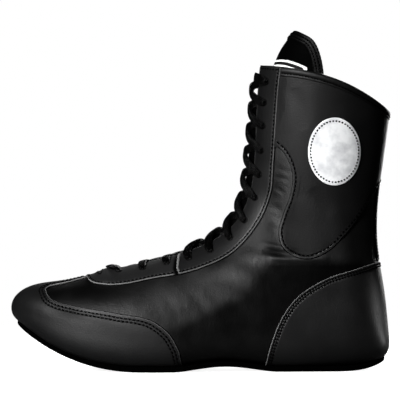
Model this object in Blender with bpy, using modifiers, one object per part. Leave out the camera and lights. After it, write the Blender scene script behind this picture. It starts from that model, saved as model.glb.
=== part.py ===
"""A high lace-up boxing shoe for the left foot, about size 42.

The upper is a thin shell worked out from a fan of sections along the last. The overlays are cut from the
same form a little further out, so every piece follows the last. Toe to -X, heel to +X, outer side to -Y.
Lengths in the tables and constants are millimetres; the meshes are in metres.
"""

import math

import bmesh
import bpy
import numpy as np
from mathutils import Vector

MM = 0.001
GAP = 0.3
MERGE_DISTANCE = 0.002
SHARP_ANGLE = 40.0

# Middle of the shoe's box in the tables below. The finished shoe is moved so that this is its origin.
CENTRE_X = 0.2
CENTRE_Y = -1.5

# Sole
SOLE_TOE_X = -140.0
SOLE_HEEL_X = 139.5
SOLE_THICKNESS = 4.0
TOE_SPRING = 33.0
TOE_SPRING_START = -40.0
TOE_SPRING_POWER = 2.3
ARCH_HEIGHT = 4.0
ARCH_START = -20.0
ARCH_END = 58.0
HEEL_LIFT = 9.0
HEEL_LIFT_START = 100.0
HEEL_LIFT_POWER = 2.2
TOE_ROUND_LENGTH = 45.0
TOE_ROUND_POWER = 2.2
HEEL_ROUND_LENGTH = 38.0
HEEL_ROUND_POWER = 2.4
INSOLE_INSET = 10.5
INSOLE_THICKNESS = 2.4
INSOLE_LIFT = 3.8

# Upper and overlays. The opening underneath lies between two sections and is inset from the sole's edge.
UPPER_WALL = 2.0
FEATHER_GAP = 0.5
OPENING_INSET = 12.0
OPENING_TOE = 3.0
OPENING_TOE_TAPER = 1.6
OPENING_HEEL = 14.8
OPENING_HEEL_TAPER = 2.2
OVERLAY_WALL = 1.2
OVERLAY_TOP = GAP + OVERLAY_WALL
PATCH_WALL = 0.5
PANEL_SPACE = 0.4
BACK_STRIP_HALF = 9.5
SOLE_CLEARANCE = 0.7

# Throat, tongue and collar. Places along the last are section numbers.
THROAT_START = 7.35
THROAT_ROUND = 0.45
THROAT_HALF_FRONT = 8.5
THROAT_HALF_TOP = 12.5
COLLAR = 21.0
SECTION_NUDGE = 0.1
TONGUE_START = 6.95
TONGUE_TOP = 23.0
TONGUE_WALL = 2.2
TONGUE_DEPTH = 2.7
TONGUE_LEAN = 8.4
TONGUE_LEAN_START = 18.5
TONGUE_LEAN_LENGTH = 2.8
TONGUE_REACH_FRONT = 0.42
TONGUE_REACH_TOP = 0.97
TONGUE_REACH_POWER = 1.5
TONGUE_ROUND_START = 20.0
TONGUE_ROUND_POWER = 2.1
TONGUE_ROUND_ROOT = 2.5
TONGUE_RISE = 3.2
TONGUE_RISE_STEP = 0.5
TONGUE_ROWS = 15
TONGUE_TOP_ROWS = 7
TONGUE_TOP_FIRST = 0.2
TONGUE_COLUMNS = 5
BINDING_HEIGHT = 4.5
BINDING_WALL = 1.1
BINDING_START_X = 63.0
BINDING_FIRST_STEP = 0.04

# Lace and eyelets. A bar of the lace starts beside its eyelet, at a share of the way from the throat's edge,
# and ends in the gap opposite, at a share of the half gap and of the way to the next pair of eyelets.
EYELET_RADIUS = 2.6
EYELET_ROUND = 0.75
EYELET_SEGMENTS = 8
LACE_WIDTH = 5.0
LACE_THICKNESS = 1.6
LACE_START_SHARE = 0.4
LACE_END_SHARE = 0.55
LACE_STEP_SHARE = 0.75
LACE_START_HEIGHT = 3.9
LACE_MIDDLE_HEIGHT = 3.0
LACE_END_HEIGHT = 0.4

# Sole plan without its round ends: one row for each 35 mm from x = -140.
SOLE_STEP = 35.0
SOLE_PLAN = np.array([
    # centre, half width
    (5.0, 30.0),
    (1.5, 34.5),
    (-0.2, 41.7),
    (-2.1, 41.6),
    (-4.2, 35.8),
    (-4.2, 31.3),
    (-2.6, 30.0),
    (-1.0, 28.4),
    (0.0, 25.0),
])

# Fan of sections from the toe tip to the top of the tongue. Each runs from a front point on the ridge or
# throat line to a back point on the sole or on the back line. lateral and medial are the y of the widest
# points, ridge and base the y of the front and back points, widest how far from front to back the widest
# point lies, round_top and round_bottom the powers of its two arcs, and bow its upward bend.
ON_SOLE = math.nan
SECTION_COLUMNS = ("front_x", "front_z", "back_x", "back_z", "lateral", "medial", "ridge", "base",
                   "widest", "round_top", "round_bottom", "bow")
SECTIONS = np.array([
    (-143.5, 46.8, -143.5, 46.8, 5.0, 5.0, 5.0, 5.0, 0.50, 2.00, 2.00, 0.0),
    (-142.6, 51.8, -142.2, 41.8, -3.6, 13.4, 5.0, 5.0, 0.50, 2.00, 2.05, 0.0),
    (-139.3, 56.6, -138.0, ON_SOLE, -12.6, 21.2, 5.0, 5.0, 0.50, 2.05, 2.50, 0.0),
    (-133.0, 61.0, -131.0, ON_SOLE, -21.8, 27.8, 4.8, 4.4, 0.52, 2.15, 3.20, 0.0),
    (-123.0, 64.3, -120.5, ON_SOLE, -30.2, 34.2, 4.4, 3.4, 0.55, 2.22, 3.60, 0.0),
    (-109.0, 66.3, -106.0, ON_SOLE, -37.2, 39.4, 3.9, 1.6, 0.58, 2.25, 3.60, 0.0),
    (-92.0, 69.2, -89.5, ON_SOLE, -42.6, 43.2, 3.4, 0.6, 0.62, 2.22, 3.50, 0.0),
    (-73.0, 74.2, -70.5, ON_SOLE, -46.4, 45.2, 2.9, -0.2, 0.66, 2.14, 3.40, 0.0),
    (-52.0, 79.3, -48.5, ON_SOLE, -48.2, 44.8, 2.4, -1.2, 0.69, 2.05, 3.40, 0.0),
    (-31.0, 84.3, -24.5, ON_SOLE, -47.8, 42.2, 1.9, -2.6, 0.71, 1.96, 3.40, 0.0),
    (-12.0, 90.0, 1.0, ON_SOLE, -45.4, 38.8, 1.5, -4.0, 0.72, 1.90, 3.40, 0.0),
    (5.0, 97.2, 27.5, ON_SOLE, -42.6, 36.2, 1.1, -4.2, 0.71, 1.88, 3.40, 0.0),
    (19.0, 106.6, 55.0, ON_SOLE, -40.2, 34.8, 0.8, -3.2, 0.69, 1.88, 3.40, 0.0),
    (28.6, 118.0, 83.0, ON_SOLE, -38.0, 34.0, 0.5, -1.8, 0.66, 1.90, 3.60, 0.0),
    (34.4, 131.0, 111.0, ON_SOLE, -36.4, 33.4, 0.3, -0.6, 0.62, 1.94, 3.90, 0.0),
    (37.7, 145.0, 134.2, ON_SOLE, -35.2, 32.9, 0.1, 0.0, 0.58, 1.98, 3.60, 0.0),
    (39.5, 159.5, 142.8, 30.0, -34.6, 32.8, 0.0, 0.0, 0.55, 2.02, 2.80, 0.0),
    (40.6, 174.0, 139.8, 60.0, -34.6, 33.2, 0.0, 0.0, 0.53, 2.05, 2.25, 0.6),
    (41.4, 188.5, 135.0, 92.5, -35.2, 34.2, 0.0, 0.0, 0.52, 2.08, 2.00, 2.0),
    (42.3, 203.0, 134.9, 126.5, -36.8, 36.0, 0.0, 0.0, 0.51, 2.10, 1.95, 4.0),
    (43.5, 217.5, 139.3, 162.0, -39.0, 38.2, 0.0, 0.0, 0.50, 2.12, 1.95, 6.0),
    (45.2, 232.0, 143.9, 195.4, -41.2, 40.2, 0.0, 0.0, 0.50, 2.14, 2.00, 7.5),
    (50.5, 248.5, 148.6, 227.2, -42.6, 41.6, 0.0, 0.0, 0.50, 2.16, 2.04, 4.0),
    (60.0, 264.5, 153.0, 258.0, -44.0, 43.0, 0.0, 0.0, 0.50, 2.18, 2.02, -6.0),
])

# Rows and columns of the shells: section numbers, and steps from the ridge (0) by the widest point (1) to
# the edge (2).
SHELL_ROWS = np.concatenate([
    np.array([0.0, 0.5, 1.05, 1.65, 2.15, 2.6, 3.2, 4.0, 4.8, 5.6, 6.3, 6.9]),
    THROAT_START + THROAT_ROUND * np.array([0.0, 0.12, 0.45, 1.0]),
    np.array([8.4, 9.0, 9.75, 10.5, 11.25, 12.0, 12.75, 13.4, 14.0, 14.5, 14.8, 15.0]),
    np.array([15.4, 16.0, 16.75, 17.5, 18.25, 19.0, 19.75, 20.4, 21.0]),
])
SHELL_COLUMNS = np.array([0.0, 0.14, 0.28, 0.44, 0.62, 0.81, 1.0, 1.25, 1.5, 1.75, 2.0])
PLATE_STATIONS = 33
SEARCH_ROWS = np.linspace(3.5, COLLAR, 701)
SEARCH_COLUMNS = np.linspace(0.0, 2.0, 201)

# Side-view outlines of the overlays. They are the same on both sides of the shoe. The ends of an edge that
# leave the shoe run on past it.
CAP_EDGE = np.array([
    # x, z
    (-16.0, 16.6),
    (-22.7, 28.2),
    (-34.0, 37.4),
    (-63.7, 44.1),
    (-97.6, 50.0),
    (-107.4, 52.4),
    (-113.2, 55.2),
    (-116.8, 60.6),
])
CAP_END_X = -12.2
CAP_PEAK_END = -88.4
CAP_PEAK = np.array([
    # x, half width on the ridge
    (-114.8, 19.4),
    (-110.0, 17.0),
    (-103.0, 15.4),
    (-94.0, 11.5),
    (-87.4, 8.6),
])
# The window is cut by a prism that is looked at from 45 degrees above: its reach behind the peak, above and
# below its edges, and along the line of sight.
WINDOW_BEHIND = 8.0
WINDOW_END_X = 10.0
WINDOW_TOP = 40.0
WINDOW_BOTTOM = -60.0
WINDOW_NEAR = 15.0
WINDOW_FAR = 95.0
EYESTAY_FRONT_X = -88.0
EYESTAY_JOINT_X = -16.9
EYESTAY_FRONT_EDGE = np.array([
    # x, z
    (-88.6, 73.0),
    (-83.6, 67.9),
    (-70.3, 64.9),
    (-57.4, 65.8),
    (-34.7, 70.2),
    (-16.9, 73.0),
])
EYESTAY_EDGE = np.array([
    # x, z
    (-16.7, 72.6),
    (-0.8, 77.4),
    (25.3, 90.2),
    (38.3, 103.5),
    (46.9, 116.6),
    (53.7, 134.8),
    (55.8, 158.0),
    (58.3, 196.9),
    (59.4, 212.0),
    (62.6, 240.0),
])
COUNTER_EDGE = np.array([
    # x, z
    (48.4, 2.0),
    (53.7, 22.6),
    (61.4, 40.7),
    (71.0, 54.2),
    (92.1, 68.7),
    (120.8, 78.4),
    (155.0, 88.6),
])
SHAFT_EDGE = np.array([
    # x, z
    (55.0, 174.4),
    (64.7, 164.1),
    (70.5, 147.5),
    (68.4, 132.0),
    (63.2, 117.7),
    (59.9, 104.2),
    (62.0, 95.2),
    (70.0, 87.9),
    (82.0, 85.4),
    (94.0, 89.8),
    (110.3, 105.2),
    (130.7, 134.1),
    (155.0, 174.0),
])
PATCH_CENTRE = (101.0, 166.0)
PATCH_RADII = (19.5, 25.5)
PATCH_POINTS = 28

# Eyelets on each side in the side view, from the toe to the collar.
EYELETS = np.array([
    # x, z
    (-61.4, 74.2),
    (-43.2, 76.4),
    (-25.0, 80.4),
    (-8.3, 84.2),
    (8.3, 90.0),
    (23.5, 100.0),
    (34.9, 113.6),
    (43.0, 131.0),
    (46.2, 149.0),
    (47.8, 167.4),
    (49.0, 186.0),
    (50.0, 203.6),
    (51.6, 219.4),
])

# Reach of the cutters beyond the shoe.
CUT_SIDE = 70.0
CUT_END = 165.0
CUT_TOP = 120.0


def clear_scene():
    for obj in list(bpy.data.objects):
        bpy.data.objects.remove(obj, do_unlink=True)


def collection_named(name, hidden=False):
    collection = bpy.data.collections.new(name)
    bpy.context.scene.collection.children.link(collection)
    collection.hide_render = hidden
    return collection


def finish_material(name, colour, roughness, metallic=0.0):
    """A plain finish with the piece's colour, roughness and metallic value."""
    material = bpy.data.materials.new(name)
    material.use_nodes = True
    shader = material.node_tree.nodes["Principled BSDF"]
    shader.inputs["Base Color"].default_value = (*colour, 1.0)
    shader.inputs["Roughness"].default_value = roughness
    shader.inputs["Metallic"].default_value = metallic
    return material


def natural_spline(rows, at):
    """Natural cubic spline through evenly spaced rows, read at fractional row numbers."""
    count = len(rows)
    system = np.eye(count)
    bend = np.zeros_like(rows)
    inner = np.arange(1, count - 1)
    system[inner, inner - 1] = 1.0
    system[inner, inner] = 4.0
    system[inner, inner + 1] = 1.0
    bend[inner] = 6.0 * (rows[inner - 1] - 2.0 * rows[inner] + rows[inner + 1])
    second = np.linalg.solve(system, bend)
    at = np.asarray(at, float)
    row = np.clip(np.floor(at).astype(int), 0, count - 2)
    u = (at - row)[..., None]
    v = 1.0 - u
    straight = v * rows[row] + u * rows[row + 1]
    return straight + ((v**3 - v) * second[row] + (u**3 - u) * second[row + 1]) / 6.0


def sole_bottom(x):
    """Height of the tread: toe spring, a low arch, and a lift at the back of the heel, flat in between."""
    x = np.asarray(x, float)
    spring = np.clip((TOE_SPRING_START - x) / (TOE_SPRING_START - SOLE_TOE_X - 2.0), 0.0, None)
    arch = np.clip((x - ARCH_START) / (ARCH_END - ARCH_START), 0.0, 1.0)
    heel = np.clip((x - HEEL_LIFT_START) / (SOLE_HEEL_X - HEEL_LIFT_START), 0.0, None)
    return (TOE_SPRING * spring**TOE_SPRING_POWER
            + ARCH_HEIGHT * np.sin(math.pi * arch)**1.5
            + HEEL_LIFT * heel**HEEL_LIFT_POWER)


def sole_top(x):
    return sole_bottom(x) + SOLE_THICKNESS


def insole_bottom(x):
    """The insole lies on the upper's turned-in margin."""
    return sole_top(x) + INSOLE_LIFT


def sole_edge(x, side, inset=0.0):
    """y of the sole's edge on the outer (-1) or inner (+1) side, moved in by inset."""
    x = np.asarray(x, float)
    plan = natural_spline(SOLE_PLAN, (x - SOLE_TOE_X) / SOLE_STEP)
    toe = np.clip((SOLE_TOE_X + TOE_ROUND_LENGTH - x) / (TOE_ROUND_LENGTH - inset), 0.0, 1.0)
    heel = np.clip((x - SOLE_HEEL_X + HEEL_ROUND_LENGTH) / (HEEL_ROUND_LENGTH - inset), 0.0, 1.0)
    toe_round = (1.0 - toe**TOE_ROUND_POWER)**(1.0 / TOE_ROUND_POWER)
    heel_round = (1.0 - heel**HEEL_ROUND_POWER)**(1.0 / HEEL_ROUND_POWER)
    return plan[..., 0] + side * (plan[..., 1] - inset) * toe_round * heel_round


def section_table():
    """The section rows with the sole's height filled in, led by rows mirrored through the toe tip."""
    rows = SECTIONS.copy()
    on_sole = np.isnan(rows[:, 3])
    rows[on_sole, 3] = sole_top(rows[on_sole, 2]) + FEATHER_GAP
    swapped = rows[3:0:-1][:, (2, 3, 0, 1, 5, 4, 7, 6, 8, 10, 9, 11)]
    swapped[:, 8] = 1.0 - swapped[:, 8]
    return np.vstack([swapped, rows])


SECTION_ROWS = section_table()
MIRRORED_ROWS = 3
ON_SOLE_FIRST, ON_SOLE_LAST = np.flatnonzero(np.isnan(SECTIONS[:, 3]))[[0, -1]]


def opening_share(p):
    """How much of its full width the opening underneath has: it tapers smoothly to nought at toe and heel."""
    toe = np.clip((p - OPENING_TOE) / OPENING_TOE_TAPER, 0.0, 1.0)
    heel = np.clip((OPENING_HEEL - p) / OPENING_HEEL_TAPER, 0.0, 1.0)
    return (np.sin(math.pi / 2 * toe) * np.sin(math.pi / 2 * heel))**2


def throat_half(p):
    """Half the throat's width: nought on the vamp, then a round end and two slowly parting edges."""
    p = np.asarray(p, float)
    round_end = np.clip((p - THROAT_START) / THROAT_ROUND, 0.0, 1.0)
    along = np.clip((p - THROAT_START) / (COLLAR - THROAT_START), 0.0, 1.0)
    width = THROAT_HALF_FRONT + (THROAT_HALF_TOP - THROAT_HALF_FRONT) * along
    return width * np.sqrt(1.0 - (1.0 - round_end)**2)


def last_point(p, t, side, half_gap):
    """A point of the last in mm at section p.

    From t = 0 to 1 a superellipse arc runs from the ridge, or from half_gap beside it, to the widest point.
    From 1 to 2 a second arc goes on to the sole's edge, or to the back line where the section is closed.
    """
    p, t, half_gap = np.broadcast_arrays(np.asarray(p, float), t, half_gap)
    row = dict(zip(SECTION_COLUMNS, np.moveaxis(natural_spline(SECTION_ROWS, p + MIRRORED_ROWS), -1, 0)))
    outline = row["lateral"] if side < 0 else row["medial"]
    back_x = row["back_x"]
    on_sole = (p > ON_SOLE_FIRST) & (p < ON_SOLE_LAST)
    back_z = np.where(on_sole, sole_top(back_x) + FEATHER_GAP, row["back_z"])
    base = row["base"] + (sole_edge(back_x, side, OPENING_INSET) - row["base"]) * opening_share(p)
    top, bottom = row["round_top"], row["round_bottom"]
    reach = np.abs(outline - row["ridge"])
    start = np.clip(half_gap / np.maximum(reach, half_gap + 1e-6), 0.0, 1.0)
    start_angle = np.arctan2(start, (1.0 - start**top)**(1.0 / top))
    angle = start_angle + (math.pi / 2 - start_angle) * np.minimum(t, 1.0)
    sine, cosine = np.sin(angle), np.cos(angle)
    radius = (np.abs(cosine)**top + np.abs(sine)**top)**(-1.0 / top)
    top_y = row["ridge"] + (outline - row["ridge"]) * radius * sine
    top_along = row["widest"] * (1.0 - radius * cosine)
    turn = math.pi / 2 * np.clip(t - 1.0, 0.0, 1.0)
    sine, cosine = np.sin(turn), np.cos(turn)
    radius = (cosine**bottom + sine**bottom)**(-1.0 / bottom)
    low_y = base + (outline - base) * radius * cosine
    low_along = row["widest"] + (1.0 - row["widest"]) * radius * sine
    y = np.where(t <= 1.0, top_y, low_y)
    along = np.where(t <= 1.0, top_along, low_along)
    run_x = back_x - row["front_x"]
    run_z = back_z - row["front_z"]
    length = np.maximum(np.hypot(run_x, run_z), 1e-6)
    lift = 4.0 * row["bow"] * along * (1.0 - along)
    x = row["front_x"] + run_x * along - run_z / length * lift
    z = row["front_z"] + run_z * along + run_x / length * lift
    return np.stack([x, y, z], axis=-1)


def last_normal(p, t, side, half_gap):
    """Outward unit normal of the last, from differences of last_point."""
    step = 0.01
    along = last_point(p + step, t, side, half_gap) - last_point(p - step, t, side, half_gap)
    down = last_point(p, t + step, side, half_gap) - last_point(p, t - step, side, half_gap)
    normal = np.cross(down, along) if side < 0 else np.cross(along, down)
    return normal / np.linalg.norm(normal, axis=-1, keepdims=True)


def add_grid(shape, points, flip):
    """Quads over a grid of points in mm, turned round where flip is set."""
    rows, columns = points.shape[:2]
    made = [[shape.verts.new(Vector(point) * MM) for point in line] for line in points]
    for i in range(rows - 1):
        for j in range(columns - 1):
            corners = [made[i][j], made[i][j + 1], made[i + 1][j + 1], made[i + 1][j]]
            shape.faces.new(corners[::-1] if flip else corners)


def object_from(shape, name, collection, material):
    bmesh.ops.remove_doubles(shape, verts=shape.verts, dist=MERGE_DISTANCE * MM)
    mesh = bpy.data.meshes.new(name)
    shape.to_mesh(mesh)
    shape.free()
    mesh.materials.append(material)
    mesh.shade_smooth()
    mesh.set_sharp_from_angle(angle=math.radians(SHARP_ANGLE))
    obj = bpy.data.objects.new(name, mesh)
    obj.parent = shoe
    collection.objects.link(obj)
    return obj


def last_shell(name, collection, material):
    """The outside of the last as an open surface, both sides merged on the ridge and the back line."""
    shape = bmesh.new()
    p = SHELL_ROWS[:, None]
    for side in (-1, 1):
        points = last_point(p, SHELL_COLUMNS[None, :], side, throat_half(p))
        add_grid(shape, points, side > 0)
    bmesh.ops.triangulate(shape, faces=shape.faces[:], quad_method="SHORT_EDGE")
    return object_from(shape, name, collection, material)


def thicken(obj, thickness, outward):
    solidify = obj.modifiers.new("wall", "SOLIDIFY")
    solidify.thickness = thickness * MM
    solidify.offset = 1.0 if outward else -1.0
    return solidify


def flat_plate(name, bottom_height, thickness, inset, collection, material):
    """A plate with the sole's plan, moved in by inset, on a height that follows the tread."""
    stations = np.linspace(0.0, math.pi, PLATE_STATIONS)
    middle = (SOLE_TOE_X + SOLE_HEEL_X) / 2
    half_length = (SOLE_HEEL_X - SOLE_TOE_X) / 2 - inset
    x = middle - half_length * np.cos(stations)
    across = np.array([-1.0, 0.0, 1.0])
    low, high = sole_edge(x, -1, inset), sole_edge(x, 1, inset)
    y = (low + high)[:, None] / 2 + (high - low)[:, None] / 2 * across
    z = bottom_height(x)[:, None] + thickness + 0.0 * y
    shape = bmesh.new()
    add_grid(shape, np.stack([x[:, None] + 0.0 * y, y, z], axis=-1), True)
    bmesh.ops.remove_doubles(shape, verts=shape.verts, dist=MERGE_DISTANCE * MM)
    lower = bmesh.ops.extrude_face_region(shape, geom=shape.faces[:], use_keep_orig=True)
    moved = [item for item in lower["geom"] if isinstance(item, bmesh.types.BMVert)]
    bmesh.ops.translate(shape, verts=moved, vec=(0.0, 0.0, -thickness * MM))
    bmesh.ops.recalc_face_normals(shape, faces=shape.faces[:])
    return object_from(shape, name, collection, material)


def tongue_reach(p):
    """How far round the section the tongue reaches: narrow on the vamp, half way round at its round top."""
    p = np.asarray(p, float)
    spread = np.clip((p - TONGUE_START) / (TONGUE_ROUND_START - TONGUE_START), 0.0, 1.0)
    top = np.clip((p - TONGUE_ROUND_START) / (TONGUE_TOP - TONGUE_ROUND_START), 0.0, 1.0)
    reach = TONGUE_REACH_FRONT + (TONGUE_REACH_TOP - TONGUE_REACH_FRONT) * spread**TONGUE_REACH_POWER
    return reach * (1.0 - top**TONGUE_ROUND_POWER)**(1.0 / TONGUE_ROUND_ROOT)


def tongue_depth(p):
    """Depth of the tongue's face below the last: it leans in towards the collar."""
    lean = np.clip((np.asarray(p, float) - TONGUE_LEAN_START) / TONGUE_LEAN_LENGTH, 0.0, 1.0)
    return TONGUE_DEPTH + TONGUE_LEAN * lean**2 * (3.0 - 2.0 * lean)


def tongue_rise(p, t):
    """How far the tongue's round top is lifted beside its middle."""
    top = np.clip((p - TONGUE_ROUND_START) / (TONGUE_TOP - TONGUE_ROUND_START), 0.0, 1.0)
    return TONGUE_RISE * top**2 * np.sin(math.pi / 2 * np.minimum(t / TONGUE_RISE_STEP, 1.0))


def build_tongue(collection, material):
    """A thin sheet under the throat, made as an open surface below the last and thickened inwards."""
    round_top = np.sin(np.linspace(TONGUE_TOP_FIRST, 1.0, TONGUE_TOP_ROWS) * math.pi / 2)
    p = np.concatenate([
        np.linspace(TONGUE_START, TONGUE_ROUND_START, TONGUE_ROWS),
        TONGUE_ROUND_START + (TONGUE_TOP - TONGUE_ROUND_START) * round_top,
    ])
    t = tongue_reach(p)[:, None] * np.linspace(0.0, 1.0, TONGUE_COLUMNS)
    shape = bmesh.new()
    for side in (-1, 1):
        inward = tongue_depth(p)[:, None, None] * last_normal(p[:, None], t, side, 0.0)
        points = last_point(p[:, None], t, side, 0.0) - inward
        points[..., 2] += tongue_rise(p[:, None], t)
        add_grid(shape, points, side > 0)
    tongue = object_from(shape, "tongue", collection, material)
    thicken(tongue, TONGUE_WALL, False)
    return tongue


def smooth_edge(points, steps=3):
    """A curve through the points: cubic spans whose slopes weigh the neighbouring chords by length."""
    chords = np.diff(points, axis=0)
    lengths = np.hypot(chords[:, 0], chords[:, 1])[:, None]
    slopes = chords / lengths
    inner = (slopes[1:] * lengths[:-1] + slopes[:-1] * lengths[1:]) / (lengths[:-1] + lengths[1:])
    tangents = np.vstack([slopes[:1], inner, slopes[-1:]])
    u = (np.arange(steps) / steps)[None, :, None]
    start, end = points[:-1, None], points[1:, None]
    leave = (tangents[:-1] * lengths)[:, None]
    arrive = (tangents[1:] * lengths)[:, None]
    curve = (start * (1 + 2 * u) * (1 - u)**2 + leave * u * (1 - u)**2
             + end * u**2 * (3 - 2 * u) + arrive * u**2 * (u - 1))
    return np.vstack([curve.reshape(-1, 2), points[-1:]])


def prism_cutter(name, outline, low, high, across=(0.0, 1.0, 0.0), upright=(0.0, 0.0, 1.0)):
    """A closed prism on an outline of x and height, from low to high along the across direction."""
    across, upright = Vector(across), Vector(upright)
    shape = bmesh.new()
    corners = [shape.verts.new((Vector((x, 0.0, 0.0)) + upright * height + across * low) * MM)
               for x, height in outline]
    face = shape.faces.new(corners)
    reach = bmesh.ops.extrude_face_region(shape, geom=[face], use_keep_orig=True)
    moved = [item for item in reach["geom"] if isinstance(item, bmesh.types.BMVert)]
    bmesh.ops.translate(shape, verts=moved, vec=across * (high - low) * MM)
    bmesh.ops.recalc_face_normals(shape, faces=shape.faces[:])
    cutter = object_from(shape, name, cutters, leather)
    cutter.hide_render = True
    cutter.display_type = "WIRE"
    return cutter


def overlay(name, lift, wall, material, *cuts):
    """A layer over the last, lift above it and wall thick, cut by each pair of a cutter and an operation."""
    layer = last_shell(name, parts, material)
    raise_layer = layer.modifiers.new("lift", "DISPLACE")
    raise_layer.strength = lift * MM
    raise_layer.mid_level = 0.0
    thicken(layer, wall, True)
    for cutter, operation in cuts:
        boolean = layer.modifiers.new(cutter.name, "BOOLEAN")
        boolean.object = cutter
        boolean.operation = operation
        boolean.solver = "EXACT"


def search_grid():
    """Sections, steps and points of a fine grid over the outer side, to look places up in."""
    p, t = np.meshgrid(SEARCH_ROWS, SEARCH_COLUMNS, indexing="ij")
    return p, t, last_point(p, t, -1, throat_half(p))


def locate(x, z):
    """Section and step of the point of the outer side whose side view is nearest to x and z."""
    p, t, points = search_grid()
    nearest = np.argmin(np.hypot(points[..., 0] - x, points[..., 2] - z))
    return p.flat[nearest], t.flat[nearest]


def locate_from_above(x, half):
    """Section and step of the point of the outer side at x that lies half beside the ridge."""
    p, t, points = search_grid()
    beside = np.abs(points[..., 1] - points[:, :1, 1])
    away = np.hypot(points[..., 0] - x, beside - half)
    nearest = np.argmin(np.where(t <= 1.0, away, math.inf))
    return p.flat[nearest], t.flat[nearest]


def raised(p, t, side, half_gap, lift):
    """A point lift above the last."""
    return last_point(p, t, side, half_gap) + lift * last_normal(p, t, side, half_gap)


def unit(vectors):
    return vectors / np.linalg.norm(vectors, axis=-1, keepdims=True)


def collar_frame(t, side):
    """Points of the collar's edge with the directions out of the last and up to the edge."""
    half = throat_half(COLLAR)
    edge = last_point(COLLAR, t, side, half)
    out = last_normal(COLLAR, t, side, half)
    up = edge - last_point(COLLAR - SECTION_NUDGE, t, side, half)
    on_back = np.asarray(t) == 2.0
    out[on_back, 1] = 0.0
    up[on_back, 1] = 0.0
    return edge, unit(out), unit(up)


def window_cutter(name, side):
    """The part of the vamp that the toe cap leaves bare on one side, as seen from 45 degrees above."""
    slant = math.sqrt(0.5)
    places = [locate(x, z) for x, z in CAP_EDGE] + [locate_from_above(x, half) for x, half in CAP_PEAK]
    points = np.array([last_point(p, t, side, 0.0) for p, t in places])
    edge = np.column_stack([points[:, 0], (points[:, 2] - side * points[:, 1]) * slant])
    behind = [(CAP_PEAK_END + WINDOW_BEHIND, WINDOW_TOP), (WINDOW_END_X, WINDOW_TOP),
              (WINDOW_END_X, WINDOW_BOTTOM), (CAP_END_X, WINDOW_BOTTOM)]
    return prism_cutter(name, np.vstack([smooth_edge(edge), behind]), WINDOW_NEAR, WINDOW_FAR,
                        (0.0, side * slant, slant), (0.0, -side * slant, slant))


def build_toe_cap():
    """Overlay round the toe with a wing on each side and a peak that runs back along the ridge."""
    x = np.linspace(SOLE_TOE_X - 1.0, CAP_END_X, 12)
    z = sole_top(x) + SOLE_CLEARANCE
    window_top = CAP_EDGE[-1, 1]
    bounds = prism_cutter("toe_cap_bounds", np.vstack([
        np.column_stack([x, z]),
        [(CAP_END_X, window_top), (CAP_PEAK_END, window_top), (CAP_PEAK_END, CUT_TOP)],
        [(-CUT_END, CUT_TOP), (-CUT_END, z[0])],
    ]), -CUT_SIDE, CUT_SIDE)
    overlay("toe_cap", GAP, OVERLAY_WALL, leather, (bounds, "INTERSECT"),
            (window_cutter("vamp_window_outer", -1), "DIFFERENCE"),
            (window_cutter("vamp_window_inner", 1), "DIFFERENCE"))


def build_heel_counter():
    x = np.linspace(COUNTER_EDGE[0, 0], SOLE_HEEL_X + 1.0, 8)
    z = sole_top(x) + SOLE_CLEARANCE
    outline = prism_cutter("heel_counter_outline", np.vstack([
        np.column_stack([x, z]), [(CUT_END, z[-1])], smooth_edge(COUNTER_EDGE)[:0:-1],
    ]), -CUT_SIDE, CUT_SIDE)
    overlay("heel_counter", GAP, OVERLAY_WALL, leather, (outline, "INTERSECT"))


def build_shaft_panel():
    """Overlay round ankle and shaft, from one eyestay round the back to the other, up to the binding."""
    stay = smooth_edge(EYESTAY_EDGE) + (PANEL_SPACE, 0.0)
    lobe = smooth_edge(SHAFT_EDGE)
    lobe = lobe[lobe[:, 0] > np.interp(lobe[:, 1], stay[:, 1], stay[:, 0])]
    edge, _, up = collar_frame(SHELL_COLUMNS, -1)
    top = (edge - (BINDING_HEIGHT + GAP) * up)[:, (0, 2)]
    top = top[top[:, 0] > BINDING_START_X]
    front = stay[(stay[:, 1] > lobe[0, 1]) & (stay[:, 1] < top[0, 1])]
    outline = prism_cutter("shaft_panel_outline", np.vstack([
        lobe, [(CUT_END, lobe[-1, 1]), (CUT_END, top[-1, 1])], top[::-1], front[::-1],
    ]), -CUT_SIDE, CUT_SIDE)
    overlay("shaft_panel", GAP, OVERLAY_WALL, leather, (outline, "INTERSECT"))


def build_back_strip():
    low = smooth_edge(COUNTER_EDGE) + (0.0, PANEL_SPACE)
    high = smooth_edge(SHAFT_EDGE) - (0.0, PANEL_SPACE)
    start = COUNTER_EDGE[-3, 0]
    outline = prism_cutter("back_strip_outline", np.vstack([
        low[low[:, 0] > start], high[high[:, 0] > start][::-1],
    ]), -BACK_STRIP_HALF, BACK_STRIP_HALF)
    overlay("back_strip", GAP, OVERLAY_WALL, leather, (outline, "INTERSECT"))


def build_eyestay():
    """A front piece that bridges the ridge before the throat, and a long stay on each side."""
    joint = EYESTAY_JOINT_X - PANEL_SPACE / 2
    edge = smooth_edge(EYESTAY_FRONT_EDGE)
    edge = edge[(edge[:, 0] > EYESTAY_FRONT_X) & (edge[:, 0] < joint)]
    outline = prism_cutter("eyestay_front_outline", np.vstack([
        edge, [(joint, EYESTAY_FRONT_EDGE[-1, 1]), (joint, CUT_TOP), (EYESTAY_FRONT_X, CUT_TOP)],
    ]), -CUT_SIDE, CUT_SIDE)
    overlay("eyestay_front", GAP, OVERLAY_WALL, leather, (outline, "INTERSECT"))
    edge = smooth_edge(EYESTAY_EDGE)
    corners = [(0.0, edge[-1, 1]), (edge[0, 0], CUT_TOP)]
    for name, low, high in (("eyestay_outer", -CUT_SIDE, 0.0), ("eyestay_inner", 0.0, CUT_SIDE)):
        outline = prism_cutter(name + "_outline", np.vstack([edge, corners]), low, high)
        overlay(name, GAP, OVERLAY_WALL, leather, (outline, "INTERSECT"))


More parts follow.
